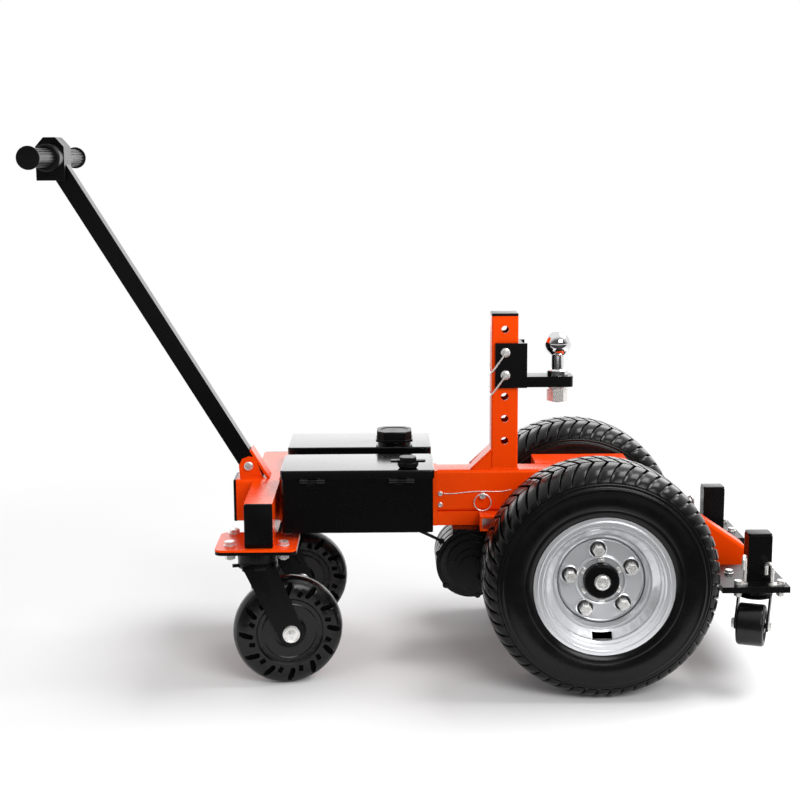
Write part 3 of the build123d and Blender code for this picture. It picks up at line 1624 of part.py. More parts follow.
def write_parts():
    save("main_beam", *main_beam(), nose_arm())
    save("rear_frame", *rear_frame())
    save("drive_cradle", *drive_cradle())
    save("tube_end_caps", *tube_end_caps())
    save("front_cross_plate", front_cross_plate(), *both_sides(bumper_post()))
    save("chain_hooks", *chain_hooks())
    save("caster_mount_plates", *both_sides(caster_plate(race_top, plate_top)))
    save("caster_races", *both_sides(caster_plate(race_bottom, race_top)), *both_sides(small_caster_plate()))
    save("frame_bolts", *frame_bolts())
    save("mast", *mast())
    save("ball_mount", ball_mount())
    save("hitch_ball", hitch_ball())
    save("ball_nut_and_washers", *ball_nut_and_washers())
    save("hitch_pins", *[hitch_pin(z) for z in pin_heights])
    save("upper_bail", wire_bail(pin_heights[0]))
    save("lower_bail", wire_bail(pin_heights[1]))
    save("near_battery_box", near_battery_box())
    save("far_controller_box", mirrored(battery_box()))
    save("lid_hinges", *lid_hinges())
    save("near_lid", near_lid())
    save("far_lid", far_lid())
    save("battery_pack", battery_pack())
    save("motor_controller", motor_controller())
    save("power_knob", power_knob())
    save("charge_cap", charge_cap())
    save("motor_housing", *motor_housing())
    save("motor_stator", motor_stator())
    save("motor_rotor", motor_rotor())
    save("reduction_gear", reduction_gear())
    save("idler_gear", idler_gear())
    save("axle_gear", axle_gear())
    save("gear_case", *gear_case())
    save("shaft_bearings", *shaft_bearings())
    save("axle_tubes", axle_tube(-axle_tube_reach, case_inner), axle_tube(case_outer, axle_tube_reach))
    tyre, rim, nuts = drive_tyre(), drive_rim(), lug_nuts()
    near_shaft_end = tyre_y + case_second_gear + axle_gear_face
    far_shaft_end = tyre_y - case_second_gear - axle_gear_face - 1
    save("near_tyre", at_near_wheel(tyre))
    save("near_rim", at_near_wheel(rim))
    save("near_hub", at_near_wheel(wheel_hub(near_shaft_end)))
    save("near_lug_nuts", *[at_near_wheel(nut) for nut in nuts])
    save("far_tyre", at_far_wheel(tyre))
    save("far_rim", at_far_wheel(rim))
    save("far_hub", at_far_wheel(wheel_hub(far_shaft_end)))
    save("far_lug_nuts", *[at_far_wheel(nut) for nut in nuts])
    fork, axle, wheel = rear_fork(), rear_axle(), rear_wheel()
    save("near_rear_fork", turned_rear(fork, -1), turned_rear(axle, -1))
    save("near_rear_wheel", turned_rear(wheel, -1))
    save("far_rear_fork", turned_rear(fork, 1), turned_rear(axle, 1))
    save("far_rear_wheel", turned_rear(wheel, 1))
    small_fork = [turned_small(part) for part in small_fork_parts()]
    save("near_front_fork", *small_fork)
    save("near_front_wheel", small_wheel())
    save("far_front_fork", *[mirrored(part) for part in small_fork])
    save("far_front_wheel", mirrored(small_wheel()))
    save("handle_clevis", handle_clevis())
    save("handle_tube", handle_tube(), handle_bolt())
    save("control_head", control_head())
    save("handlebar", handlebar())
    save("throttle_grip", throttle_grip())
    save("fixed_grip", fixed_grip())
    save("direction_rocker", direction_rocker())
    save("release_pin", *release_pin())
    save("lanyard_wire", held_cord("lanyard_wire", lanyard_points(), lanyard_radius))
    save("motor_cable", held_cord("motor_cable", cable_points(), cable_radius))
    print("axle at x", round(-origin_x, 2), "bar at", round(bar_x - origin_x, 2), round(bar_z, 2))
    print("motor at", round(motor_x - origin_x, 2), round(motor_z, 2))


write_parts()
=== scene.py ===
"""Looks for an electric trailer dolly: orange frame, black boxes, treaded tyres, casters."""

import json
from math import atan2, cos, hypot, pi, radians, sin, tau

import bmesh
import bpy
from mathutils import Euler, Matrix, Vector

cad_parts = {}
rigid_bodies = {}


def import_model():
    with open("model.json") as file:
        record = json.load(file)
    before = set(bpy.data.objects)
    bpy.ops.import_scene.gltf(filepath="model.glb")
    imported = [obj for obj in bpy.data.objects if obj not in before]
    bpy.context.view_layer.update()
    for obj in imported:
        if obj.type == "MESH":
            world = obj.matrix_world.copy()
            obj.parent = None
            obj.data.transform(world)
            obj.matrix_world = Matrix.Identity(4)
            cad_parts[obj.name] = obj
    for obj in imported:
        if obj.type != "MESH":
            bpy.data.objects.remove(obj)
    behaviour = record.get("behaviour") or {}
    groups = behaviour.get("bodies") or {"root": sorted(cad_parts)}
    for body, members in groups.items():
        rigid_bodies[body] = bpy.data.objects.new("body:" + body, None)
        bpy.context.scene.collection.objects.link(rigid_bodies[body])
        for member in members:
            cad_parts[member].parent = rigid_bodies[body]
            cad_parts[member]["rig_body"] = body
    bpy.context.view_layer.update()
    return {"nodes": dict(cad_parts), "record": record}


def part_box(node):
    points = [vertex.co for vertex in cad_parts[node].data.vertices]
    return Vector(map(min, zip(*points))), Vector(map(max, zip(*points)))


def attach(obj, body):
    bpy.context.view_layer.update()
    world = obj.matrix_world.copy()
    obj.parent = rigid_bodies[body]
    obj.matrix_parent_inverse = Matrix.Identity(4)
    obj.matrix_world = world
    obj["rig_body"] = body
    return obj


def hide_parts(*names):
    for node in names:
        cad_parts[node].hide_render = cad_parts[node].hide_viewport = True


bl_info = {
    "name": "Electric trailer dolly",
    "version": (1, 0, 0),
    "blender": (4, 5, 0),
    "location": "View3D > Sidebar > Dolly",
    "description": "Finishes, tyres, welds and small fittings for an electric trailer dolly",
    "category": "Object",
}

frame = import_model()
MM = 0.001


def middle(node):
    """The centre of a CAD node's box."""
    low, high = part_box(node)
    return (low + high) / 2


wheel_centre = middle("near_tyre")
axle_x = wheel_centre.x
axle_z = wheel_centre.z
track_half = abs(wheel_centre.y)


# Settings that a user would change

class DollyColours(bpy.types.PropertyGroup):
    orange: bpy.props.FloatVectorProperty(
        name="Orange", description="Powder coat of the frame", subtype="COLOR",
        size=3, min=0, max=1, default=(0.88, 0.058, 0.0012),
    )
    black: bpy.props.FloatVectorProperty(
        name="Black", description="Powder coat of the boxes, forks and handle", subtype="COLOR",
        size=3, min=0, max=1, default=(0.002, 0.002, 0.0024),
    )
    plastic: bpy.props.FloatVectorProperty(
        name="Plastic", description="Moulded caps, knobs and head", subtype="COLOR",
        size=3, min=0, max=1, default=(0.0022, 0.0022, 0.0025),
    )
    tyre: bpy.props.FloatVectorProperty(
        name="Tyre", description="Rubber of the drive tyres", subtype="COLOR",
        size=3, min=0, max=1, default=(0.0022, 0.0020, 0.0019),
    )
    caster: bpy.props.FloatVectorProperty(
        name="Caster", description="Rubber of the caster wheels", subtype="COLOR",
        size=3, min=0, max=1, default=(0.003, 0.003, 0.0034),
    )
    silver: bpy.props.FloatVectorProperty(
        name="Silver", description="Paint of the rims", subtype="COLOR",
        size=3, min=0, max=1, default=(0.76, 0.77, 0.79),
    )
    zinc: bpy.props.FloatVectorProperty(
        name="Zinc", description="Plated bolts, hooks and wires", subtype="COLOR",
        size=3, min=0, max=1, default=(0.86, 0.85, 0.83),
    )


class DollyTread(bpy.types.PropertyGroup):
    pitches: bpy.props.IntProperty(
        name="Pitches", description="Tread blocks round the tyre", default=54, min=20, max=80,
    )
    depth: bpy.props.FloatProperty(
        name="Groove depth", description="Depth of the tread grooves", subtype="DISTANCE",
        unit="LENGTH", default=6.0 * MM, min=0.001, max=0.01,
    )


class DollyEdges(bpy.types.PropertyGroup):
    tube: bpy.props.FloatProperty(
        name="Tube edges", description="Rounding of the frame's cut edges", subtype="DISTANCE",
        unit="LENGTH", default=0.9 * MM, min=0, max=0.003,
    )
    fitting: bpy.props.FloatProperty(
        name="Fitting edges", description="Rounding of bolts and small parts", subtype="DISTANCE",
        unit="LENGTH", default=0.4 * MM, min=0, max=0.002,
    )
    weld: bpy.props.FloatProperty(
        name="Weld width", description="Half width of a weld bead", subtype="DISTANCE",
        unit="LENGTH", default=2.4 * MM, min=0.001, max=0.006,
    )


class DollyStudio(bpy.types.PropertyGroup):
    key: bpy.props.FloatProperty(
        name="Overhead light", description="Power of the softbox above", subtype="POWER",
        default=60, min=0, max=500,
    )
    wall: bpy.props.FloatProperty(
        name="Light wall", description="Power of the wide softbox low behind the dolly", subtype="POWER",
        default=40, min=0, max=500,
    )
    front: bpy.props.FloatProperty(
        name="Front light", description="Power of the large soft light by the camera", subtype="POWER",
        default=80, min=0, max=500,
    )
    world: bpy.props.FloatProperty(
        name="World", description="Strength of the even light", default=0.58, min=0, max=2,
    )


def settings():
    scene = bpy.context.scene
    return scene.dolly_colours, scene.dolly_tread, scene.dolly_edges, scene.dolly_studio


# Shader node groups shared by the finishes

def new_group(name, inputs, outputs):
    """An empty shader node group with named sockets."""
    group = bpy.data.node_groups.new(name, "ShaderNodeTree")
    for label, kind, value in inputs:
        socket = group.interface.new_socket(label, in_out="INPUT", socket_type=kind)
        socket.default_value = value
    for label, kind in outputs:
        group.interface.new_socket(label, in_out="OUTPUT", socket_type=kind)
    return group, group.nodes.new("NodeGroupInput"), group.nodes.new("NodeGroupOutput")


def noise_node(tree, coords, scale=None, detail=3.0, roughness=0.5):
    node = tree.nodes.new("ShaderNodeTexNoise")
    node.inputs["Detail"].default_value = detail
    node.inputs["Roughness"].default_value = roughness
    if scale is not None:
        node.inputs["Scale"].default_value = scale
    tree.links.new(coords, node.inputs["Vector"])
    return node


def ranged(tree, value, low, high, from_low=0.0, from_high=1.0):
    node = tree.nodes.new("ShaderNodeMapRange")
    node.inputs["From Min"].default_value = from_low
    node.inputs["From Max"].default_value = from_high
    for socket, limit in (("To Min", low), ("To Max", high)):
        if isinstance(limit, bpy.types.NodeSocket):
            tree.links.new(limit, node.inputs[socket])
        else:
            node.inputs[socket].default_value = limit
    tree.links.new(value, node.inputs["Value"])
    return node.outputs["Result"]


def maths(tree, operation, first, second=None):
    node = tree.nodes.new("ShaderNodeMath")
    node.operation = operation
    for index, value in enumerate((first, second)):
        if isinstance(value, bpy.types.NodeSocket):
            tree.links.new(value, node.inputs[index])
        elif value is not None:
            node.inputs[index].default_value = value
    return node.outputs[0]


def mixed(tree, factor, first, second, kind="MIX"):
    node = tree.nodes.new("ShaderNodeMix")
    node.data_type = "RGBA"
    node.blend_type = kind
    for name, value in (("Factor", factor), ("A", first), ("B", second)):
        socket = [s for s in node.inputs if s.name == name and s.enabled][0]
        if isinstance(value, bpy.types.NodeSocket):
            tree.links.new(value, socket)
        else:
            socket.default_value = value
    return [s for s in node.outputs if s.enabled][0]


def coat_group():
    """Tone that drifts over a surface, uneven gloss and a fine orange-peel height."""
    name = "Coat variation"
    if name in bpy.data.node_groups:
        return bpy.data.node_groups[name]
    group, start, end = new_group(
        name,
        (
            ("Color", "NodeSocketColor", (0.5, 0.5, 0.5, 1)),
            ("Drift", "NodeSocketFloat", 0.08),
            ("Gloss Low", "NodeSocketFloat", 0.25),
            ("Gloss High", "NodeSocketFloat", 0.40),
            ("Peel Scale", "NodeSocketFloat", 900.0),
        ),
        (("Color", "NodeSocketColor"), ("Roughness", "NodeSocketFloat"), ("Height", "NodeSocketFloat")),
    )
    coords = group.nodes.new("ShaderNodeTexCoord").outputs["Object"]
    broad = noise_node(group, coords, 7.0, 4.0)
    fine = noise_node(group, coords, 120.0, 5.0, 0.6)
    dark = mixed(group, 1.0, start.outputs["Color"], (0.62, 0.62, 0.62, 1), "MULTIPLY")
    amount = maths(group, "MULTIPLY", broad.outputs["Fac"], start.outputs["Drift"])
    colour = mixed(group, amount, start.outputs["Color"], dark)
    group.links.new(colour, end.inputs["Color"])
    blend = maths(group, "MULTIPLY", broad.outputs["Fac"], 0.6)
    blend = maths(group, "ADD", blend, maths(group, "MULTIPLY", fine.outputs["Fac"], 0.4))
    rough = ranged(group, blend, start.outputs["Gloss Low"], start.outputs["Gloss High"], 0.3, 0.7)
    group.links.new(rough, end.inputs["Roughness"])
    peel = noise_node(group, coords, None, 2.0)
    group.links.new(start.outputs["Peel Scale"], peel.inputs["Scale"])
    group.links.new(peel.outputs["Fac"], end.inputs["Height"])
    return group


def grain_group():
    """The pebbled skin of moulded plastic and rubber, with a dusting in broad patches."""
    name = "Moulded grain"
    if name in bpy.data.node_groups:
        return bpy.data.node_groups[name]
    group, start, end = new_group(
        name,
        (
            ("Color", "NodeSocketColor", (0.02, 0.02, 0.02, 1)),
            ("Dust", "NodeSocketFloat", 0.12),
            ("Scale", "NodeSocketFloat", 1400.0),
            ("Gloss Low", "NodeSocketFloat", 0.45),
            ("Gloss High", "NodeSocketFloat", 0.65),
        ),
        (("Color", "NodeSocketColor"), ("Roughness", "NodeSocketFloat"), ("Height", "NodeSocketFloat")),
    )
    coords = group.nodes.new("ShaderNodeTexCoord").outputs["Object"]
    cells = group.nodes.new("ShaderNodeTexVoronoi")
    cells.feature = "SMOOTH_F1"
    group.links.new(coords, cells.inputs["Vector"])
    group.links.new(start.outputs["Scale"], cells.inputs["Scale"])
    broad = noise_node(group, coords, 16.0, 6.0, 0.62)
    mask = ranged(group, broad.outputs["Fac"], 0.0, start.outputs["Dust"], 0.45, 0.8)
    colour = mixed(group, mask, start.outputs["Color"], (0.16, 0.155, 0.15, 1))
    group.links.new(colour, end.inputs["Color"])
    rough = ranged(
        group, broad.outputs["Fac"], start.outputs["Gloss Low"], start.outputs["Gloss High"], 0.35, 0.7
    )
    group.links.new(rough, end.inputs["Roughness"])
    group.links.new(cells.outputs["Distance"], end.inputs["Height"])
    return group


def brushed_group():
    """Fine scratches along one axis with a soft tarnish."""
    name = "Plated metal"
    if name in bpy.data.node_groups:
        return bpy.data.node_groups[name]
    group, start, end = new_group(
        name,
        (
            ("Color", "NodeSocketColor", (0.6, 0.6, 0.6, 1)),
            ("Tarnish", "NodeSocketFloat", 0.25),
            ("Gloss Low", "NodeSocketFloat", 0.2),
            ("Gloss High", "NodeSocketFloat", 0.4),
            ("Scratch Scale", "NodeSocketFloat", 350.0),
        ),
        (("Color", "NodeSocketColor"), ("Roughness", "NodeSocketFloat"), ("Height", "NodeSocketFloat")),
    )
    coords = group.nodes.new("ShaderNodeTexCoord").outputs["Object"]
    stretch = group.nodes.new("ShaderNodeMapping")
    stretch.inputs["Scale"].default_value = (1.0, 0.12, 1.0)
    group.links.new(coords, stretch.inputs["Vector"])
    lines = noise_node(group, stretch.outputs["Vector"], None, 4.0, 0.7)
    group.links.new(start.outputs["Scratch Scale"], lines.inputs["Scale"])
    broad = noise_node(group, coords, 40.0, 4.0)
    dull = mixed(group, 1.0, start.outputs["Color"], (0.55, 0.52, 0.48, 1), "MULTIPLY")
    amount = maths(group, "MULTIPLY", broad.outputs["Fac"], start.outputs["Tarnish"])
    colour = mixed(group, amount, start.outputs["Color"], dull)
    group.links.new(colour, end.inputs["Color"])
    low, high = start.outputs["Gloss Low"], start.outputs["Gloss High"]
    rough = ranged(group, lines.outputs["Fac"], low, high, 0.3, 0.7)
    group.links.new(rough, end.inputs["Roughness"])
    group.links.new(lines.outputs["Fac"], end.inputs["Height"])
    return group


# Finishes

def finish(
    name, group, values, metallic=0.0, specular=0.5, tint=(1, 1, 1), coat=0.0, bump=0.1, reach=0.05 * MM,
):
    """A material whose colour, roughness and bump come from a shared group."""
    if name in bpy.data.materials:
        return bpy.data.materials[name]
    material = bpy.data.materials.new(name)
    material.use_nodes = True
    tree = material.node_tree
    shader = tree.nodes["Principled BSDF"]
    shader.inputs["Metallic"].default_value = metallic
    shader.inputs["Specular IOR Level"].default_value = specular
    shader.inputs["Coat Weight"].default_value = coat
    shader.inputs["Specular Tint"].default_value = (*tint, 1.0)
    shader.inputs["Coat Roughness"].default_value = 0.1
    effect = tree.nodes.new("ShaderNodeGroup")
    effect.node_tree = group
    for label, value in values.items():
        effect.inputs[label].default_value = value
    tree.links.new(effect.outputs["Color"], shader.inputs["Base Color"])
    tree.links.new(effect.outputs["Roughness"], shader.inputs["Roughness"])
    relief = tree.nodes.new("ShaderNodeBump")
    relief.inputs["Strength"].default_value = bump
    relief.inputs["Distance"].default_value = reach
    tree.links.new(effect.outputs["Height"], relief.inputs["Height"])
    tree.links.new(relief.outputs["Normal"], shader.inputs["Normal"])
    return material


def rgba(colour):
    return (*colour, 1.0)


def orange_coat():
    values = {"Color": rgba(settings()[0].orange), "Drift": 0.22, "Gloss Low": 0.20, "Gloss High": 0.30}
    return finish("orange powder coat", coat_group(), values, specular=0.2, tint=(1.0, 0.55, 0.2), bump=0.1)


def black_coat():
    values = {"Color": rgba(settings()[0].black), "Drift": 0.3, "Gloss Low": 0.22, "Gloss High": 0.32}
    return finish("satin black coat", coat_group(), values, specular=0.15, bump=0.1)


def lid_gloss():
    values = {"Color": rgba(settings()[0].black), "Drift": 0.2, "Gloss Low": 0.12, "Gloss High": 0.2}
    return finish("gloss black lid", coat_group(), values, specular=0.35, coat=0.1, bump=0.05)


def rim_silver():
    values = {
        "Color": rgba(settings()[0].silver), "Drift": 0.2, "Gloss Low": 0.20, "Gloss High": 0.28,
        "Peel Scale": 2200.0,
    }
    return finish("silver wheel paint", coat_group(), values, metallic=0.72, specular=0.5, bump=0.08)


def moulded_black():
    values = {"Color": rgba(settings()[0].plastic), "Dust": 0.015, "Gloss Low": 0.26, "Gloss High": 0.36}
    return finish("moulded black plastic", grain_group(), values, specular=0.14, bump=0.15)


def tyre_rubber():
    values = {
        "Color": rgba(settings()[0].tyre), "Dust": 0.01, "Scale": 900.0,
        "Gloss Low": 0.20, "Gloss High": 0.30,
    }
    return finish("tyre rubber", grain_group(), values, specular=0.24, bump=0.1)


def caster_rubber():
    values = {
        "Color": rgba(settings()[0].caster), "Dust": 0.01, "Scale": 1000.0,
        "Gloss Low": 0.20, "Gloss High": 0.32,
    }
    return finish("caster rubber", grain_group(), values, specular=0.35, bump=0.15)


# A near-black rubber that is painted shade on the floors of the caster wheels' notches
def pocket_shade_rubber():
    values = {"Color": (0.0008, 0.0008, 0.0009, 1), "Dust": 0.0, "Gloss Low": 0.5, "Gloss High": 0.6}
    return finish("pocket shade rubber", grain_group(), values, specular=0.04, bump=0.05)


def grip_rubber():
    values = {
        "Color": (0.004, 0.004, 0.004, 1), "Dust": 0.02, "Scale": 1600.0,
        "Gloss Low": 0.3, "Gloss High": 0.4,
    }
    return finish("grip rubber", grain_group(), values, specular=0.14, bump=0.2)


def cable_rubber():
    values = {"Color": (0.006, 0.006, 0.006, 1), "Dust": 0.03, "Scale": 2500.0}
    return finish("cable rubber", grain_group(), values, specular=0.2, bump=0.2)


def chrome():
    values = {
        "Color": (0.78, 0.78, 0.79, 1), "Tarnish": 0.08, "Gloss Low": 0.04, "Gloss High": 0.10,
        "Scratch Scale": 900.0,
    }
    return finish("polished chrome", brushed_group(), values, metallic=1.0, bump=0.02)


def zinc_plate():
    values = {"Color": rgba(settings()[0].zinc), "Tarnish": 0.2, "Gloss Low": 0.2, "Gloss High": 0.38}
    return finish("zinc plate", brushed_group(), values, metallic=0.75, bump=0.05)


def machined_steel():
    values = {"Color": (0.42, 0.42, 0.43, 1), "Tarnish": 0.4, "Gloss Low": 0.28, "Gloss High": 0.45}
    return finish("machined steel", brushed_group(), values, metallic=1.0, bump=0.2)


def motor_enamel():
    values = {"Color": (0.003, 0.003, 0.0035, 1), "Drift": 0.3, "Gloss Low": 0.2, "Gloss High": 0.35}
    return finish("motor enamel", coat_group(), values, specular=0.2, bump=0.2)


def cast_alloy():
    values = {
        "Color": (0.02, 0.02, 0.021, 1), "Drift": 0.4, "Gloss Low": 0.35, "Gloss High": 0.5,
        "Peel Scale": 500.0,
    }
    return finish("painted casting", coat_group(), values, metallic=0.3, bump=0.5)


def winding_lacquer():
    values = {
        "Color": (0.24, 0.10, 0.035, 1), "Tarnish": 0.6, "Gloss Low": 0.3, "Gloss High": 0.5,
        "Scratch Scale": 600.0,
    }
    return finish("lacquered laminations", brushed_group(), values, metallic=0.7, bump=0.4)


# Mesh helpers

def linked(name, mesh, body, material, slot, *nodes):
    """Puts a finished mesh in the scene, riding on its body."""
    piece = bpy.data.objects.new(name, mesh)
    bpy.context.scene.collection.objects.link(piece)
    mesh.materials.clear()
    mesh.materials.append(material)
    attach(piece, body)
    if nodes:
        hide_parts(*nodes)
    return piece


def mesh_from(bm, name, smooth_angle=35):
    mesh = bpy.data.meshes.new(name)
    bm.to_mesh(mesh)
    bm.free()
    mesh.shade_smooth()
    mesh.set_sharp_from_angle(angle=radians(smooth_angle))
    return mesh


def append_bm(bm, part):
    """Adds one bmesh to another and frees it."""
    spare = bpy.data.meshes.new("part")
    part.to_mesh(spare)
    part.free()
    bm.from_mesh(spare)
    bpy.data.meshes.remove(spare)


def slot_of(node):
    for part in frame["record"]["subparts"]:
        if part["node"] == node:
            return part["material_slot"]
    raise KeyError(node)


def painted(node, material):
    """A CAD node that keeps its own mesh and gets a finish."""
    thing = frame["nodes"][node]
    thing.data.materials.clear()
    thing.data.materials.append(material)
    for polygon in thing.data.polygons:
        polygon.use_smooth = True
    thing.data.set_sharp_from_angle(angle=radians(30))


def merged_copy(node):
    bm = bmesh.new()
    bm.from_mesh(frame["nodes"][node].data)
    bmesh.ops.remove_doubles(bm, verts=bm.verts, dist=0.002 * MM)
    bmesh.ops.dissolve_limit(
        bm, angle_limit=radians(0.6), use_dissolve_boundaries=False, verts=bm.verts, edges=bm.edges,
        delimit={"NORMAL"},
    )
    return bm


def edged(node, width, material, segments=2, angle=34, name=None):
    """A copy of a CAD node with its sharp edges rounded, standing for the node."""
    bm = merged_copy(node)
    mesh = mesh_from(bm, name or f"{node}_edged", angle)
    body = frame["nodes"][node]["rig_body"]
    piece = linked(name or f"{node}_edged", mesh, body, material, slot_of(node), node)
    rounding = piece.modifiers.new("Edges", "BEVEL")
    rounding.width = width
    rounding.segments = segments
    rounding.limit_method = "ANGLE"
    rounding.angle_limit = radians(angle)
    rounding.use_clamp_overlap = True
    rounding.miter_outer = "MITER_ARC"
    rounding.harden_normals = True
    return piece


def spun(profile, steps, centre, closed=True):
    """A bmesh turned about Y through the centre from (radius, y) points."""
    bm = bmesh.new()
    verts = [bm.verts.new((radius, y, 0)) for radius, y in profile]
    pairs = list(zip(verts, verts[1:]))
    if closed:
        pairs.append((verts[-1], verts[0]))
    edges = [bm.edges.new(pair) for pair in pairs]
    bmesh.ops.spin(
        bm, geom=verts + edges, cent=(0, 0, 0), axis=(0, 1, 0), dvec=(0, 0, 0), angle=tau, steps=steps,
        use_merge=True,
    )
    bmesh.ops.remove_doubles(bm, verts=bm.verts, dist=1e-6)
    bmesh.ops.recalc_face_normals(bm, faces=bm.faces)
    bmesh.ops.translate(bm, verts=bm.verts, vec=centre)
    return bm


def registered(operator):
    OPERATORS.append(operator)
    return operator


OPERATORS = []


# Drive tyres

crown_radius = 210.0 * MM
rib_groove = (13.2 * MM, 15.4 * MM)
groove_depth_rib = 4.0 * MM
edge_drop = 0.6 * MM
elbow = 15.0 * MM
trail_slope = 0.37
groove_fractions = (0.0, 0.185, 0.21, 0.25, 0.60, 0.945, 0.975)
groove_drops = (1.0, 1.0, -1.0, 0.0, 0.0, 0.0, -1.0)


def crown_height(y):
    """Radius of the tread at a distance from the middle of the tyre."""
    return crown_radius - 1.55 * (y / 0.042) ** 2 * MM


def outer_half():
    """Half of the tyre's outside, from the tread's middle to the bead.

    Each row is (distance from the middle, radius, groove depth share).
    """
    start, stop = rib_groove
    rows = [(0.0, crown_height(0), 1.0), (6.5 * MM, crown_height(6.5 * MM), 1.0)]
    rows += [
        (start - 0.8 * MM, crown_height(start), 1.0), (start, crown_height(start) - edge_drop, 1.0),
        (start + 0.2 * MM, crown_radius - groove_depth_rib, 0.3),
        (stop - 0.2 * MM, crown_radius - groove_depth_rib, 0.3),
        (stop, crown_height(stop) - edge_drop, 1.0), (stop + 0.8 * MM, crown_height(stop), 1.0),
    ]
    for y in (22, 29, 36):
        rows.append((y * MM, crown_height(y * MM), 1.0))
    rows += [
        (44 * MM, 208.2 * MM, 1.0), (52 * MM, 206.2 * MM, 1.0), (59 * MM, 203.8 * MM, 1.0),
        (65 * MM, 200.8 * MM, 0.95), (70 * MM, 196.6 * MM, 0.85), (73.2 * MM, 192.2 * MM, 0.7),
        (75.2 * MM, 188.4 * MM, 0.5), (75.9 * MM, 187.0 * MM, 0.0), (74.6 * MM, 186.4 * MM, 0.0),
        (74.9 * MM, 185.2 * MM, 0.0), (77.2 * MM, 184.8 * MM, 0.0), (78.2 * MM, 183.6 * MM, 0.0),
        (78.6 * MM, 181.6 * MM, 0.0), (78.3 * MM, 180.6 * MM, 0.0), (79.6 * MM, 176.6 * MM, 0.0),
        (80.4 * MM, 176.0 * MM, 0.0), (80.9 * MM, 174.6 * MM, 0.0), (80.6 * MM, 173.6 * MM, 0.0),
        (81.4 * MM, 168.0 * MM, 0.0), (82.1 * MM, 161.5 * MM, 0.0), (82.3 * MM, 154.5 * MM, 0.0),
        (81.4 * MM, 147.0 * MM, 0.0), (79.6 * MM, 140.4 * MM, 0.0), (78.9 * MM, 138.8 * MM, 0.0),
        (79.5 * MM, 137.2 * MM, 0.0), (79.6 * MM, 135.2 * MM, 0.0), (78.6 * MM, 131.6 * MM, 0.0),
        (76.4 * MM, 127.4 * MM, 0.0), (74.4 * MM, 124.6 * MM, 0.0), (71.9 * MM, 122.6 * MM, 0.0),
        (71.9 * MM, 104.6 * MM, 0.0),
    ]
    return rows


def groove_trail(y, radius):
    """How far a groove trails its elbow here, in metres along the tread."""
    along = abs(y) + 0.5 * (crown_radius - radius)
    if y < -elbow:
        return trail_slope * (along - elbow)
    if y < elbow:
        return trail_slope * (y + elbow)
    return trail_slope * (elbow + along)


def tyre_mesh(name, side):
    """The tyre at its wheel's place; side is -1 for the near wheel and 1 for the far."""
    tread = settings()[1]
    half = outer_half()
    outside = [(r, -y) for y, r, _ in reversed(half)] + [(r, y) for y, r, _ in half[1:]]
    inner = [(118 * MM, 60 * MM), (150 * MM, 71 * MM), (185 * MM, 62 * MM), (193 * MM, 40 * MM)]
    inside = inner + [(195 * MM, 0)] + [(r, -y) for r, y in reversed(inner)]
    profile = outside + inside
    columns = len(groove_fractions)
    steps = tread.pitches * columns
    bm = spun(profile, steps, (0, 0, 0))
    rows = {}
    for y, r, share in half:
        rows.setdefault(round(y / MM * 10), []).append((r, share))
    innermost = half[-2][1]
    for vert in bm.verts:
        radius, y = hypot(vert.co.x, vert.co.z), vert.co.y
        shares = [share for r, share in rows.get(round(abs(y) / MM * 10), ()) if abs(r - radius) < 0.05 * MM]
        if not shares:
            continue
        share = shares[0]
        column = round(atan2(vert.co.z, vert.co.x) % tau / tau * steps) % steps
        pitch, place = divmod(column, columns)
        fade = min(1.0, max(0.0, (radius - innermost) / (170 * MM - innermost)))
        trail = groove_trail(y, max(radius, 176 * MM)) / (tau * crown_radius / tread.pitches)
        step = groove_fractions[place] * fade + place / columns * (1 - fade)
        angle = tau * (pitch + step + trail) / tread.pitches
        drop = groove_drops[place]
        radius -= share * (tread.depth * drop if drop > 0 else -edge_drop * drop)
        vert.co.x, vert.co.z = radius * cos(angle), radius * sin(angle)
    bmesh.ops.recalc_face_normals(bm, faces=bm.faces)
    bmesh.ops.translate(bm, verts=bm.verts, vec=(axle_x, side * track_half, axle_z))
    return mesh_from(bm, name, 40)


@registered
class DOLLY_OT_tyres(bpy.types.Operator):
    """Make the two drive tyres with their directional tread"""
    bl_idname = "dolly.tyres"
    bl_label = "Drive tyres"

    def execute(self, context):
        for side, name in ((-1, "near"), (1, "far")):
            mesh = tyre_mesh(f"{name}_tyre_treaded", side)
            linked(mesh.name, mesh, f"{name}_wheel", tyre_rubber(), "tyre", f"{name}_tyre")
        return {"FINISHED"}


# Rims, hubs and nuts

seat_radius = 15.2 * MM
lug_circle = 114.3 * MM
lug_first = radians(97)
lug_count = 5
disc_face = 30.0 * MM
disc_rim_radius = 73.5 * MM
# Places of the thin dark rings that are painted shade in the rim's corners
disc_shade_ring_radius = 77.0 * MM
barrel_shade_ring_radius = 104.0 * MM
barrel_shade_ring_out = 55.0 * MM
flange_bead_radius = 116.5 * MM
flange_out = 75.0 * MM
hub_face_out = 46.0 * MM


def lug_places():
    """Centres of the lug nuts, (x, z) from the wheel's centre."""
    for i in range(lug_count):
        angle = lug_first - tau * i / lug_count
        yield lug_circle / 2 * cos(angle), lug_circle / 2 * sin(angle)


def ring_profile(radius, width, height):
    """A rounded bead standing on a disc: (radius, y) with y outward negative."""
    points = []
    for i in range(7):
        angle = pi * i / 6
        points.append((radius + width / 2 * cos(angle), -height * sin(angle)))
    points.append((radius - width / 2, 1.0 * MM))
    points.append((radius + width / 2, 1.0 * MM))
    return points


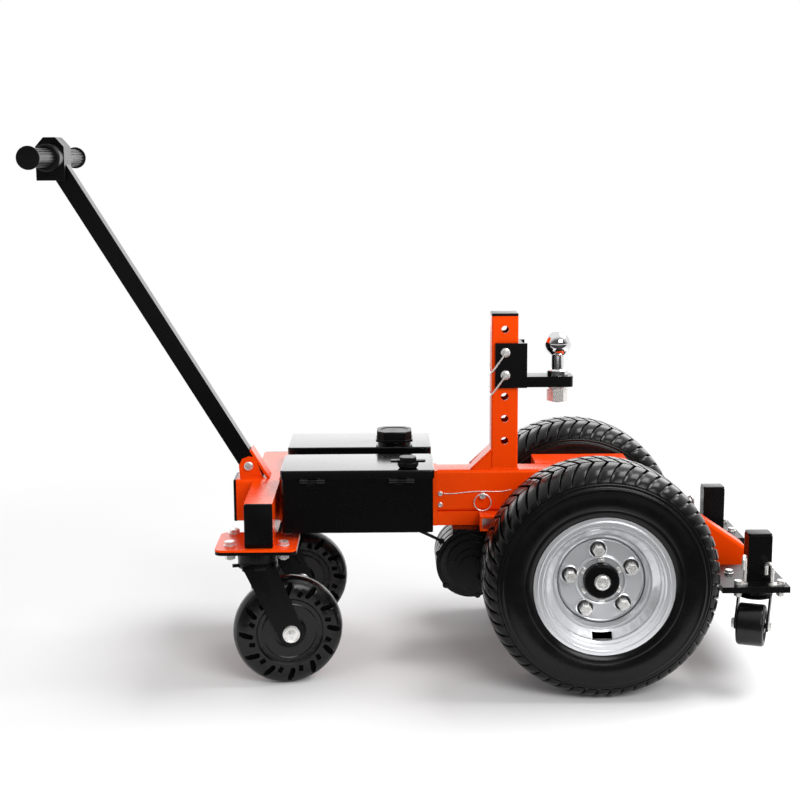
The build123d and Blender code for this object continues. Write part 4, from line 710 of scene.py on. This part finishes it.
def rim_beads(side):
    """Pressed rings round the lug holes, the centre bore and the edge of the disc."""
    bm = spun(ring_profile(disc_rim_radius, 2.4 * MM, 2.0 * MM), 128, (0, 0, 0))
    flange = ring_profile(flange_bead_radius, 4.0 * MM, 1.8 * MM)
    append_bm(bm, spun(flange, 160, (0, disc_face - flange_out, 0)))
    rings = [(0.0, 0.0, 43 * MM, 7 * MM, 4 * MM, 64)]
    for x, z in lug_places():
        rings.append((x, z, seat_radius, 3.6 * MM, 3.4 * MM, 32))
    for x, z, radius, width, height, steps in rings:
        append_bm(bm, spun(ring_profile(radius, width, height), steps, (x, 0, z)))
    place_wheel_detail(bm, side)
    return bm


def lug_seat_shade(side):
    """Dark collars round the lug nuts, for the shade of their seats."""
    bm = bmesh.new()
    seat = [
        (9.6 * MM, -0.6 * MM), (10.4 * MM, -2.6 * MM), (13.6 * MM, -2.8 * MM),
        (14.2 * MM, -0.6 * MM), (14.2 * MM, 0.4 * MM), (9.6 * MM, 0.4 * MM),
    ]
    for x, z in lug_places():
        append_bm(bm, spun(seat, 32, (x, 0, z)))
    place_wheel_detail(bm, side)
    return bm


def rim_shade_rings(side):
    """Thin dark rings for the shade where the disc and the barrel of the rim turn a corner."""
    bm = spun(ring_profile(disc_shade_ring_radius, 2.0 * MM, 4.2 * MM), 128, (0, 0, 0))
    barrel = ring_profile(barrel_shade_ring_radius, 1.8 * MM, 4.4 * MM)
    append_bm(bm, spun(barrel, 160, (0, disc_face - barrel_shade_ring_out, 0)))
    place_wheel_detail(bm, side)
    return bm


def hub_nut(side):
    """The bright domed nut in the middle of the dark hub."""
    face = disc_face - hub_face_out
    nut = [
        (14.4 * MM, face + 0.4 * MM), (14.4 * MM, face - 3.6 * MM), (12.6 * MM, face - 5.6 * MM),
        (10.4 * MM, face - 6.4 * MM), (9.6 * MM, face - 5.8 * MM), (4.0 * MM, face - 5.7 * MM),
        (2.0 * MM, face - 6.2 * MM),
    ]
    bm = spun(nut, 40, (0, 0, 0), closed=False)
    bmesh.ops.holes_fill(bm, edges=[edge for edge in bm.edges if edge.is_boundary])
    place_wheel_detail(bm, side)
    return bm


def place_wheel_detail(bm, side):
    """Moves outboard detail, made facing -Y at the disc's plane, to its wheel."""
    bmesh.ops.translate(bm, verts=bm.verts, vec=(0, -disc_face, 0))
    if side > 0:
        bmesh.ops.scale(bm, verts=bm.verts, vec=(1, -1, 1))
    bmesh.ops.recalc_face_normals(bm, faces=bm.faces)
    bmesh.ops.translate(bm, verts=bm.verts, vec=(axle_x, side * track_half, axle_z))


def hub_teeth(side):
    """Six small clips round the dark hub."""
    bm = bmesh.new()
    for i in range(6):
        made = bmesh.ops.create_cube(bm, size=1)
        size = Matrix.Diagonal((6 * MM, 5 * MM, 11 * MM, 1))
        turn = Matrix.Rotation(tau * i / 6 + 0.5, 4, "Y")
        bmesh.ops.transform(
            bm, matrix=turn @ Matrix.Translation((36 * MM, -2.2 * MM, 0)) @ size, verts=made["verts"]
        )
    bmesh.ops.bevel(
        bm, geom=bm.edges, offset=0.9 * MM, segments=2, profile=0.5, affect="EDGES", material=-1,
        offset_type="OFFSET",
    )
    place_wheel_detail(bm, side)
    return bm


@registered
class DOLLY_OT_rims(bpy.types.Operator):
    """Finish the rims, hubs and lug nuts and add their pressed rings"""
    bl_idname = "dolly.rims"
    bl_label = "Rims and hubs"

    def execute(self, context):
        edges = settings()[2]
        for side, name in ((-1, "near"), (1, "far")):
            body = f"{name}_wheel"
            edged(f"{name}_rim", 1.6 * MM, rim_silver(), 3, 25)
            edged(f"{name}_hub", edges.fitting * 1.5, black_coat())
            edged(f"{name}_lug_nuts", edges.fitting, zinc_plate())
            for make, label, angle, material, slot in (
                (rim_beads, "rim_beads", 35, rim_silver, "silver_paint"),
                (hub_teeth, "hub_clips", 35, zinc_plate, "silver_paint"),
                # painted shade: thin dark rings in the rim's corners
                (rim_shade_rings, "rim_shade_rings", 35, cast_alloy, "black_paint"),
                # painted shade: dark collars round the lug nuts
                (lug_seat_shade, "lug_seat_shade", 35, cast_alloy, "black_paint"),
                (hub_nut, "hub_nut", 30, zinc_plate, "zinc"),
            ):
                mesh = mesh_from(make(side), f"{name}_{label}", angle)
                linked(mesh.name, mesh, body, material(), slot)
        return {"FINISHED"}


# Frame, plates and posts

@registered
class DOLLY_OT_frame(bpy.types.Operator):
    """Coat the frame tubes, plates and posts and plug their ends"""
    bl_idname = "dolly.frame"
    bl_label = "Frame"

    def execute(self, context):
        edges = settings()[2]
        for node in (
            "main_beam", "rear_frame", "drive_cradle", "mast", "handle_clevis", "caster_mount_plates",
        ):
            edged(node, edges.tube, orange_coat())
        for node in ("front_cross_plate", "caster_races", "axle_tubes"):
            edged(node, edges.tube, black_coat())
        edged("tube_end_caps", edges.tube, moulded_black())
        return {"FINISHED"}


def bead_points(corners, spacing):
    """Evenly spaced points along a chain of straight runs."""
    points = []
    for start, stop in zip(corners, corners[1:]):
        start, stop = Vector(start), Vector(stop)
        count = max(2, round((stop - start).length / spacing))
        points += [start.lerp(stop, i / count) for i in range(count + 1)]
    return points


def rectangle(x0, x1, y0, y1, z):
    return [(x0, y0, z), (x1, y0, z), (x1, y1, z), (x0, y1, z), (x0, y0, z)]


def weld_mesh(runs, radius, name):
    """Overlapping puddles along each run, as one bead."""
    bm = bmesh.new()
    for corners in runs:
        for i, point in enumerate(bead_points(corners, radius * 0.95)):
            made = bmesh.ops.create_icosphere(bm, subdivisions=1, radius=radius * (1 + 0.10 * sin(i * 2.3)))
            bmesh.ops.translate(bm, verts=made["verts"], vec=point)
    return mesh_from(bm, name, 80)


@registered
class DOLLY_OT_welds(bpy.types.Operator):
    """Lay weld beads where the frame's tubes meet"""
    bl_idname = "dolly.welds"
    bl_label = "Weld beads"

    def execute(self, context):
        radius = settings()[2].weld
        mast_low, mast_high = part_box("mast")
        tube_back = mast_high.x - 50 * MM
        foot = mast_low.z
        rear_low, rear_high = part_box("rear_frame")
        bar_front = rear_low.x + 83 * MM
        beam_half = 33.5 * MM
        clevis_low, clevis_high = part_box("handle_clevis")
        runs = [
            rectangle(tube_back, mast_high.x, mast_low.y, mast_high.y, foot),
            [(bar_front, -beam_half, rear_low.z), (bar_front, -beam_half, rear_high.z),
             (bar_front, beam_half, rear_high.z), (bar_front, beam_half, rear_low.z)],
        ]
        for y in (mast_low.y, mast_high.y):
            runs.append([(mast_low.x + 3 * MM, y, foot + 2 * MM), (tube_back, y, foot + 37 * MM)])
        for y in (clevis_low.y, clevis_high.y):
            start, end = clevis_low.x + 6 * MM, clevis_high.x - 12 * MM
            runs.append([(start, y, clevis_low.z), (end, y, clevis_low.z)])
        mesh = weld_mesh(runs, radius, "frame_welds")
        linked(mesh.name, mesh, "chassis", orange_coat(), "orange_paint")
        return {"FINISHED"}


# Boxes and lids

@registered
class DOLLY_OT_boxes(bpy.types.Operator):
    """Coat the two boxes, their lids and hinges and what they hold"""
    bl_idname = "dolly.boxes"
    bl_label = "Boxes and lids"

    def execute(self, context):
        edges = settings()[2]
        for node in ("near_battery_box", "far_controller_box"):
            edged(node, edges.tube, black_coat())
        edged("lid_hinges", edges.fitting, black_coat())
        for node in ("near_lid", "far_lid"):
            edged(node, edges.fitting * 1.5, lid_gloss(), 2)
        for node in ("power_knob", "charge_cap"):
            edged(node, edges.fitting * 2, moulded_black(), 3)
        edged("battery_pack", edges.tube, moulded_black())
        edged("motor_controller", edges.fitting, cast_alloy())
        return {"FINISHED"}


# Casters

def axle_end_mesh(name, centre, turn, profile, sides):
    """Bright caps on both ends of a caster's axle; the profile is (radius, distance out)."""
    bm = bmesh.new()
    for way in (-1, 1):
        part = spun([(radius, way * out) for radius, out in profile], sides, (0, 0, 0), closed=False)
        bmesh.ops.holes_fill(part, edges=[edge for edge in part.edges if edge.is_boundary])
        bmesh.ops.recalc_face_normals(part, faces=part.faces)
        append_bm(bm, part)
    bmesh.ops.rotate(bm, verts=bm.verts, cent=(0, 0, 0), matrix=Matrix.Rotation(turn, 3, "Z"))
    bmesh.ops.translate(bm, verts=bm.verts, vec=centre)
    return mesh_from(bm, name, 28)


def shade_pocket_floors(piece, centre, turn, depths):
    """Paints shade on the flat floors of a wheel's moulded notches and dimples, as a deeper black material.
    """
    piece.data.materials.append(pocket_shade_rubber())
    axle = Matrix.Rotation(turn, 3, "Z") @ Vector((0, 1, 0))
    for face in piece.data.polygons:
        out = abs((face.center - centre).dot(axle))
        if abs(face.normal.dot(axle)) > 0.99 and any(abs(out - depth) < 0.3 * MM for depth in depths):
            face.material_index = 1


pocket_depths = (18.0 * MM, 22.0 * MM)
rear_turn = radians(12.5)
front_turn = radians(68.75)
rear_end = (
    (15.9 * MM, 33.7 * MM), (15.9 * MM, 38.4 * MM), (15.0 * MM, 39.7 * MM), (13.0 * MM, 40.1 * MM),
    (12.0 * MM, 39.5 * MM), (5.0 * MM, 39.6 * MM), (3.6 * MM, 40.3 * MM), (1.5 * MM, 40.5 * MM),
)
front_end = ((8.9 * MM, 29.4 * MM), (8.9 * MM, 34.4 * MM), (7.9 * MM, 35.2 * MM), (5.2 * MM, 35.3 * MM))


@registered
class DOLLY_OT_casters(bpy.types.Operator):
    """Finish the swivel forks, rubber wheels and bright axle ends of the four casters"""
    bl_idname = "dolly.casters"
    bl_label = "Casters"

    def execute(self, context):
        edges = settings()[2]
        for side, sense in (("near", 1), ("far", -1)):
            edged(f"{side}_rear_fork", edges.tube, black_coat())
            edged(f"{side}_front_fork", edges.fitting, black_coat())
            wheel = edged(f"{side}_rear_wheel", 1.4 * MM, caster_rubber(), 3, 25)
            # painted shade: the notch and dimple floors of the rear caster wheels get a deeper black
            shade_pocket_floors(wheel, middle(f"{side}_rear_wheel"), rear_turn, pocket_depths)
            edged(f"{side}_front_wheel", 1.0 * MM, caster_rubber(), 3, 25)
            rear, front = middle(f"{side}_rear_wheel"), middle(f"{side}_front_wheel")
            caps = axle_end_mesh(f"{side}_rear_axle_ends", rear, rear_turn, rear_end, 48)
            linked(caps.name, caps, f"{side}_rear_fork", zinc_plate(), "zinc")
            nuts = axle_end_mesh(f"{side}_front_axle_ends", front, sense * front_turn, front_end, 6)
            linked(nuts.name, nuts, f"{side}_front_fork", zinc_plate(), "zinc")
        return {"FINISHED"}


# Mast, ball and their fittings

@registered
class DOLLY_OT_hitch(bpy.types.Operator):
    """Finish the ball mount, the ball, the cross pins and their wire bails"""
    bl_idname = "dolly.hitch"
    bl_label = "Ball and mast"

    def execute(self, context):
        edges = settings()[2]
        edged("ball_mount", edges.tube, black_coat())
        painted("hitch_ball", chrome())
        for node in ("ball_nut_and_washers", "hitch_pins"):
            edged(node, edges.fitting, zinc_plate())
        for node in ("upper_bail", "lower_bail"):
            painted(node, zinc_plate())
        return {"FINISHED"}


# Handle and controls

@registered
class DOLLY_OT_handle(bpy.types.Operator):
    """Finish the handle tube, head, bar, grips and rocker"""
    bl_idname = "dolly.handle"
    bl_label = "Handle"

    def execute(self, context):
        edges = settings()[2]
        edged("handle_tube", edges.tube, black_coat())
        edged("control_head", edges.tube, moulded_black(), 3)
        edged("handlebar", edges.fitting, black_coat())
        for node in ("throttle_grip", "fixed_grip"):
            edged(node, edges.fitting, grip_rubber(), 2, 40)
        edged("direction_rocker", edges.fitting, moulded_black())
        return {"FINISHED"}


# Motor and gears

@registered
class DOLLY_OT_drive(bpy.types.Operator):
    """Finish the motor, the gear case and the gears inside it"""
    bl_idname = "dolly.drive"
    bl_label = "Motor and gears"

    def execute(self, context):
        edges = settings()[2]
        edged("motor_housing", edges.tube, motor_enamel())
        edged("gear_case", edges.tube, cast_alloy())
        painted("motor_stator", winding_lacquer())
        for node in ("motor_rotor", "reduction_gear", "idler_gear", "axle_gear", "shaft_bearings"):
            painted(node, machined_steel())
        return {"FINISHED"}


# Small fittings

row_x = axle_x
lanyard_route = (
    (-270.0, -31.4, 321.0), (-256.5, -32.0, 320.4), (-228.5, -32.6, 323.6), (-200.6, -33.2, 325.6),
    (-172.6, -32.8, 324.4), (-152.6, -32.4, 325.2), (-142.6, -32.0, 328.4),
)
cable_route = (
    (-338.5, -98.5, 281), (-333.5, -96.5, 275), (-323.5, -91.5, 268), (-309.5, -82.5, 259),
    (-294.5, -70.5, 249), (-281.5, -57.5, 239), (-274.5, -46.5, 232),
)


def smooth_cord(name, route, radius, material, node):
    """A held cord as one smooth curve through its route, standing for its CAD node."""
    curve = bpy.data.curves.new(name, "CURVE")
    curve.dimensions = "3D"
    spline = curve.splines.new("NURBS")
    spline.points.add(len(route) - 1)
    for point, (x, y, z) in zip(spline.points, route):
        point.co = (row_x + x * MM, y * MM, z * MM, 1)
    spline.order_u = 3
    spline.use_endpoint_u = True
    curve.bevel_depth = radius
    curve.bevel_resolution = 5
    curve.resolution_u = 12
    curve.use_fill_caps = True
    piece = bpy.data.objects.new(name, curve)
    bpy.context.scene.collection.objects.link(piece)
    curve.materials.append(material)
    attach(piece, "chassis")
    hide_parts(node)
    return piece


@registered
class DOLLY_OT_fittings(bpy.types.Operator):
    """Finish the bolts, hooks and ring pin and lay the lanyard and the cable"""
    bl_idname = "dolly.fittings"
    bl_label = "Fittings"

    def execute(self, context):
        edges = settings()[2]
        edged("frame_bolts", edges.fitting, zinc_plate())
        for node in ("chain_hooks", "release_pin"):
            painted(node, zinc_plate())
        smooth_cord("lanyard", lanyard_route, 0.9 * MM, zinc_plate(), "lanyard_wire")
        smooth_cord(
            "drive_cable", cable_route, 3.0 * MM, cable_rubber(), "motor_cable",
        )
        return {"FINISHED"}


# Stage

image_size = 800
focal_pixels = 1450.0
sensor_width = 36.0
camera_from_axle = Vector((-0.375, -2.7021, 0.9477))
camera_pitch = radians(9.5)
camera_yaw = radians(0.5)
camera_roll = radians(-0.3)


def photo_camera():
    """The camera that the photograph was taken with, worked out from the dolly's sizes."""
    level = cos(camera_pitch)
    forward = Vector((sin(camera_yaw) * level, cos(camera_yaw) * level, -sin(camera_pitch)))
    right = Vector((cos(camera_yaw), -sin(camera_yaw), 0))
    up = right.cross(forward)
    side = cos(camera_roll) * right + sin(camera_roll) * up
    top = -sin(camera_roll) * right + cos(camera_roll) * up
    data = bpy.data.cameras.new("photo camera")
    data.sensor_width = sensor_width
    data.lens = focal_pixels / image_size * sensor_width
    camera = bpy.data.objects.new("photo_camera", data)
    bpy.context.scene.collection.objects.link(camera)
    turned = Matrix((side, top, -forward)).transposed().to_4x4()
    place = Vector((axle_x, 0, 0)) + camera_from_axle
    camera.matrix_world = Matrix.Translation(place) @ turned
    bpy.context.scene.camera = camera


def softbox(name, place, target, size, power):
    """A rectangular soft light that the camera itself doesn't see."""
    data = bpy.data.lights.new(name, "AREA")
    data.shape = "RECTANGLE"
    data.size, data.size_y = size
    data.energy = power
    lamp = bpy.data.objects.new(name, data)
    bpy.context.scene.collection.objects.link(lamp)
    lamp.location = place
    lamp.rotation_euler = (Vector(target) - Vector(place)).to_track_quat("-Z", "Y").to_euler()
    lamp.visible_camera = False


def white_world(strength):
    """Even light, a plain white background, and a dim room on the camera's side for gloss."""
    world = bpy.data.worlds.new("white studio")
    bpy.context.scene.world = world
    world.use_nodes = True
    tree = world.node_tree
    tree.nodes.clear()
    path = tree.nodes.new("ShaderNodeLightPath")
    facing = tree.nodes.new("ShaderNodeSeparateXYZ")
    tree.links.new(tree.nodes.new("ShaderNodeTexCoord").outputs["Generated"], facing.inputs[0])
    backward = maths(tree, "ADD", facing.outputs["Y"], maths(tree, "MULTIPLY", facing.outputs["Z"], 0.6))
    room = ranged(tree, backward, 0.10, 1.0, -0.45, 0.15)
    seen = maths(tree, "MAXIMUM", path.outputs["Is Camera Ray"], path.outputs["Is Transmission Ray"])
    levels = (strength, room, 1.0)
    lights = []
    for level in levels:
        light = tree.nodes.new("ShaderNodeBackground")
        light.inputs["Color"].default_value = (1, 1, 1, 1)
        if isinstance(level, bpy.types.NodeSocket):
            tree.links.new(level, light.inputs["Strength"])
        else:
            light.inputs["Strength"].default_value = level
        lights.append(light.outputs[0])
    shader = lights[0]
    for factor, light in ((path.outputs["Is Glossy Ray"], lights[1]), (seen, lights[2])):
        mix = tree.nodes.new("ShaderNodeMixShader")
        tree.links.new(factor, mix.inputs[0])
        tree.links.new(shader, mix.inputs[1])
        tree.links.new(light, mix.inputs[2])
        shader = mix.outputs[0]
    output = tree.nodes.new("ShaderNodeOutputWorld")
    tree.links.new(shader, output.inputs[0])


def dark_card():
    """A black card on the floor between the dolly and the camera, there for gloss alone."""
    bm = bmesh.new()
    bmesh.ops.create_grid(bm, x_segments=1, y_segments=1, size=1)
    bmesh.ops.transform(
        bm, matrix=Matrix.Translation((0, -2.4, 1 * MM)) @ Matrix.Diagonal((4.0, 1.72, 1, 1)), verts=bm.verts
    )
    mesh = mesh_from(bm, "dark_card")
    material = bpy.data.materials.new("black card")
    material.use_nodes = True
    shader = material.node_tree.nodes["Principled BSDF"]
    shader.inputs["Base Color"].default_value = (0.01, 0.01, 0.01, 1)
    shader.inputs["Roughness"].default_value = 0.9
    mesh.materials.append(material)
    card = bpy.data.objects.new("dark_card", mesh)
    bpy.context.scene.collection.objects.link(card)
    card.visible_camera = False
    card.visible_diffuse = False
    card.visible_shadow = False


def floor_material():
    """A pale floor that keeps the shadow and fades to white away from the dolly."""
    material = bpy.data.materials.new("pale floor")
    material.use_nodes = True
    tree = material.node_tree
    tree.nodes.clear()
    coords = tree.nodes.new("ShaderNodeTexCoord").outputs["Object"]
    length = tree.nodes.new("ShaderNodeVectorMath")
    length.operation = "LENGTH"
    tree.links.new(coords, length.inputs[0])
    away = ranged(tree, length.outputs["Value"], 0.0, 1.0, 0.9, 1.9)
    grain = noise_node(tree, coords, 3.0, 2.0)
    tone = mixed(tree, grain.outputs["Fac"], (0.83, 0.83, 0.835, 1), (0.86, 0.86, 0.86, 1))
    matt = tree.nodes.new("ShaderNodeBsdfDiffuse")
    tree.links.new(tone, matt.inputs["Color"])
    white = tree.nodes.new("ShaderNodeEmission")
    path = tree.nodes.new("ShaderNodeLightPath")
    seen = maths(tree, "MAXIMUM", path.outputs["Is Camera Ray"], path.outputs["Is Transmission Ray"])
    seen = maths(tree, "MAXIMUM", seen, path.outputs["Is Glossy Ray"])
    seen = maths(tree, "MULTIPLY", seen, away)
    mix = tree.nodes.new("ShaderNodeMixShader")
    tree.links.new(seen, mix.inputs[0])
    tree.links.new(matt.outputs[0], mix.inputs[1])
    tree.links.new(white.outputs[0], mix.inputs[2])
    output = tree.nodes.new("ShaderNodeOutputMaterial")
    tree.links.new(mix.outputs[0], output.inputs[0])
    return material


@registered
class DOLLY_OT_stage(bpy.types.Operator):
    """Set the pale floor, the soft lights, the white world and the camera"""
    bl_idname = "dolly.stage"
    bl_label = "Stage"

    def execute(self, context):
        studio = settings()[3]
        bm = bmesh.new()
        bmesh.ops.create_grid(bm, x_segments=1, y_segments=1, size=12)
        mesh = mesh_from(bm, "floor")
        mesh.materials.append(floor_material())
        floor = bpy.data.objects.new("floor", mesh)
        context.scene.collection.objects.link(floor)
        softbox("overhead", (1.5, 0.2, 2.5), (0, 0, 0.2), (1.7, 1.4), studio.key)
        softbox("light_wall", (0.0, 3.4, 1.05), (0, 0, 0.45), (6.0, 1.7), studio.wall)
        softbox("front", (1.5, -3.2, 2.3), (0, 0, 0.3), (2.2, 1.4), studio.front)
        white_world(studio.world)
        dark_card()
        photo_camera()
        context.scene.view_settings.view_transform = "Standard"
        return {"FINISHED"}


class DOLLY_PT_panel(bpy.types.Panel):
    """Lists the steps that make the dolly"""
    bl_idname = "DOLLY_PT_panel"
    bl_label = "Trailer dolly"
    bl_space_type = "VIEW_3D"
    bl_region_type = "UI"
    bl_category = "Dolly"

    def draw(self, context):
        for operator in OPERATORS:
            self.layout.operator(operator.bl_idname)


GROUPS = {
    "dolly_colours": DollyColours,
    "dolly_tread": DollyTread,
    "dolly_edges": DollyEdges,
    "dolly_studio": DollyStudio,
}


def register():
    for name, group in GROUPS.items():
        bpy.utils.register_class(group)
        setattr(bpy.types.Scene, name, bpy.props.PointerProperty(type=group))
    for item in (*OPERATORS, DOLLY_PT_panel):
        bpy.utils.register_class(item)


def unregister():
    for item in (DOLLY_PT_panel, *reversed(OPERATORS)):
        bpy.utils.unregister_class(item)
    for name, group in reversed(GROUPS.items()):
        delattr(bpy.types.Scene, name)
        bpy.utils.unregister_class(group)


def main():
    register()
    for operator in OPERATORS:
        area, name = operator.bl_idname.split(".")
        getattr(getattr(bpy.ops, area), name)()


if __name__ == "__main__":
    main()
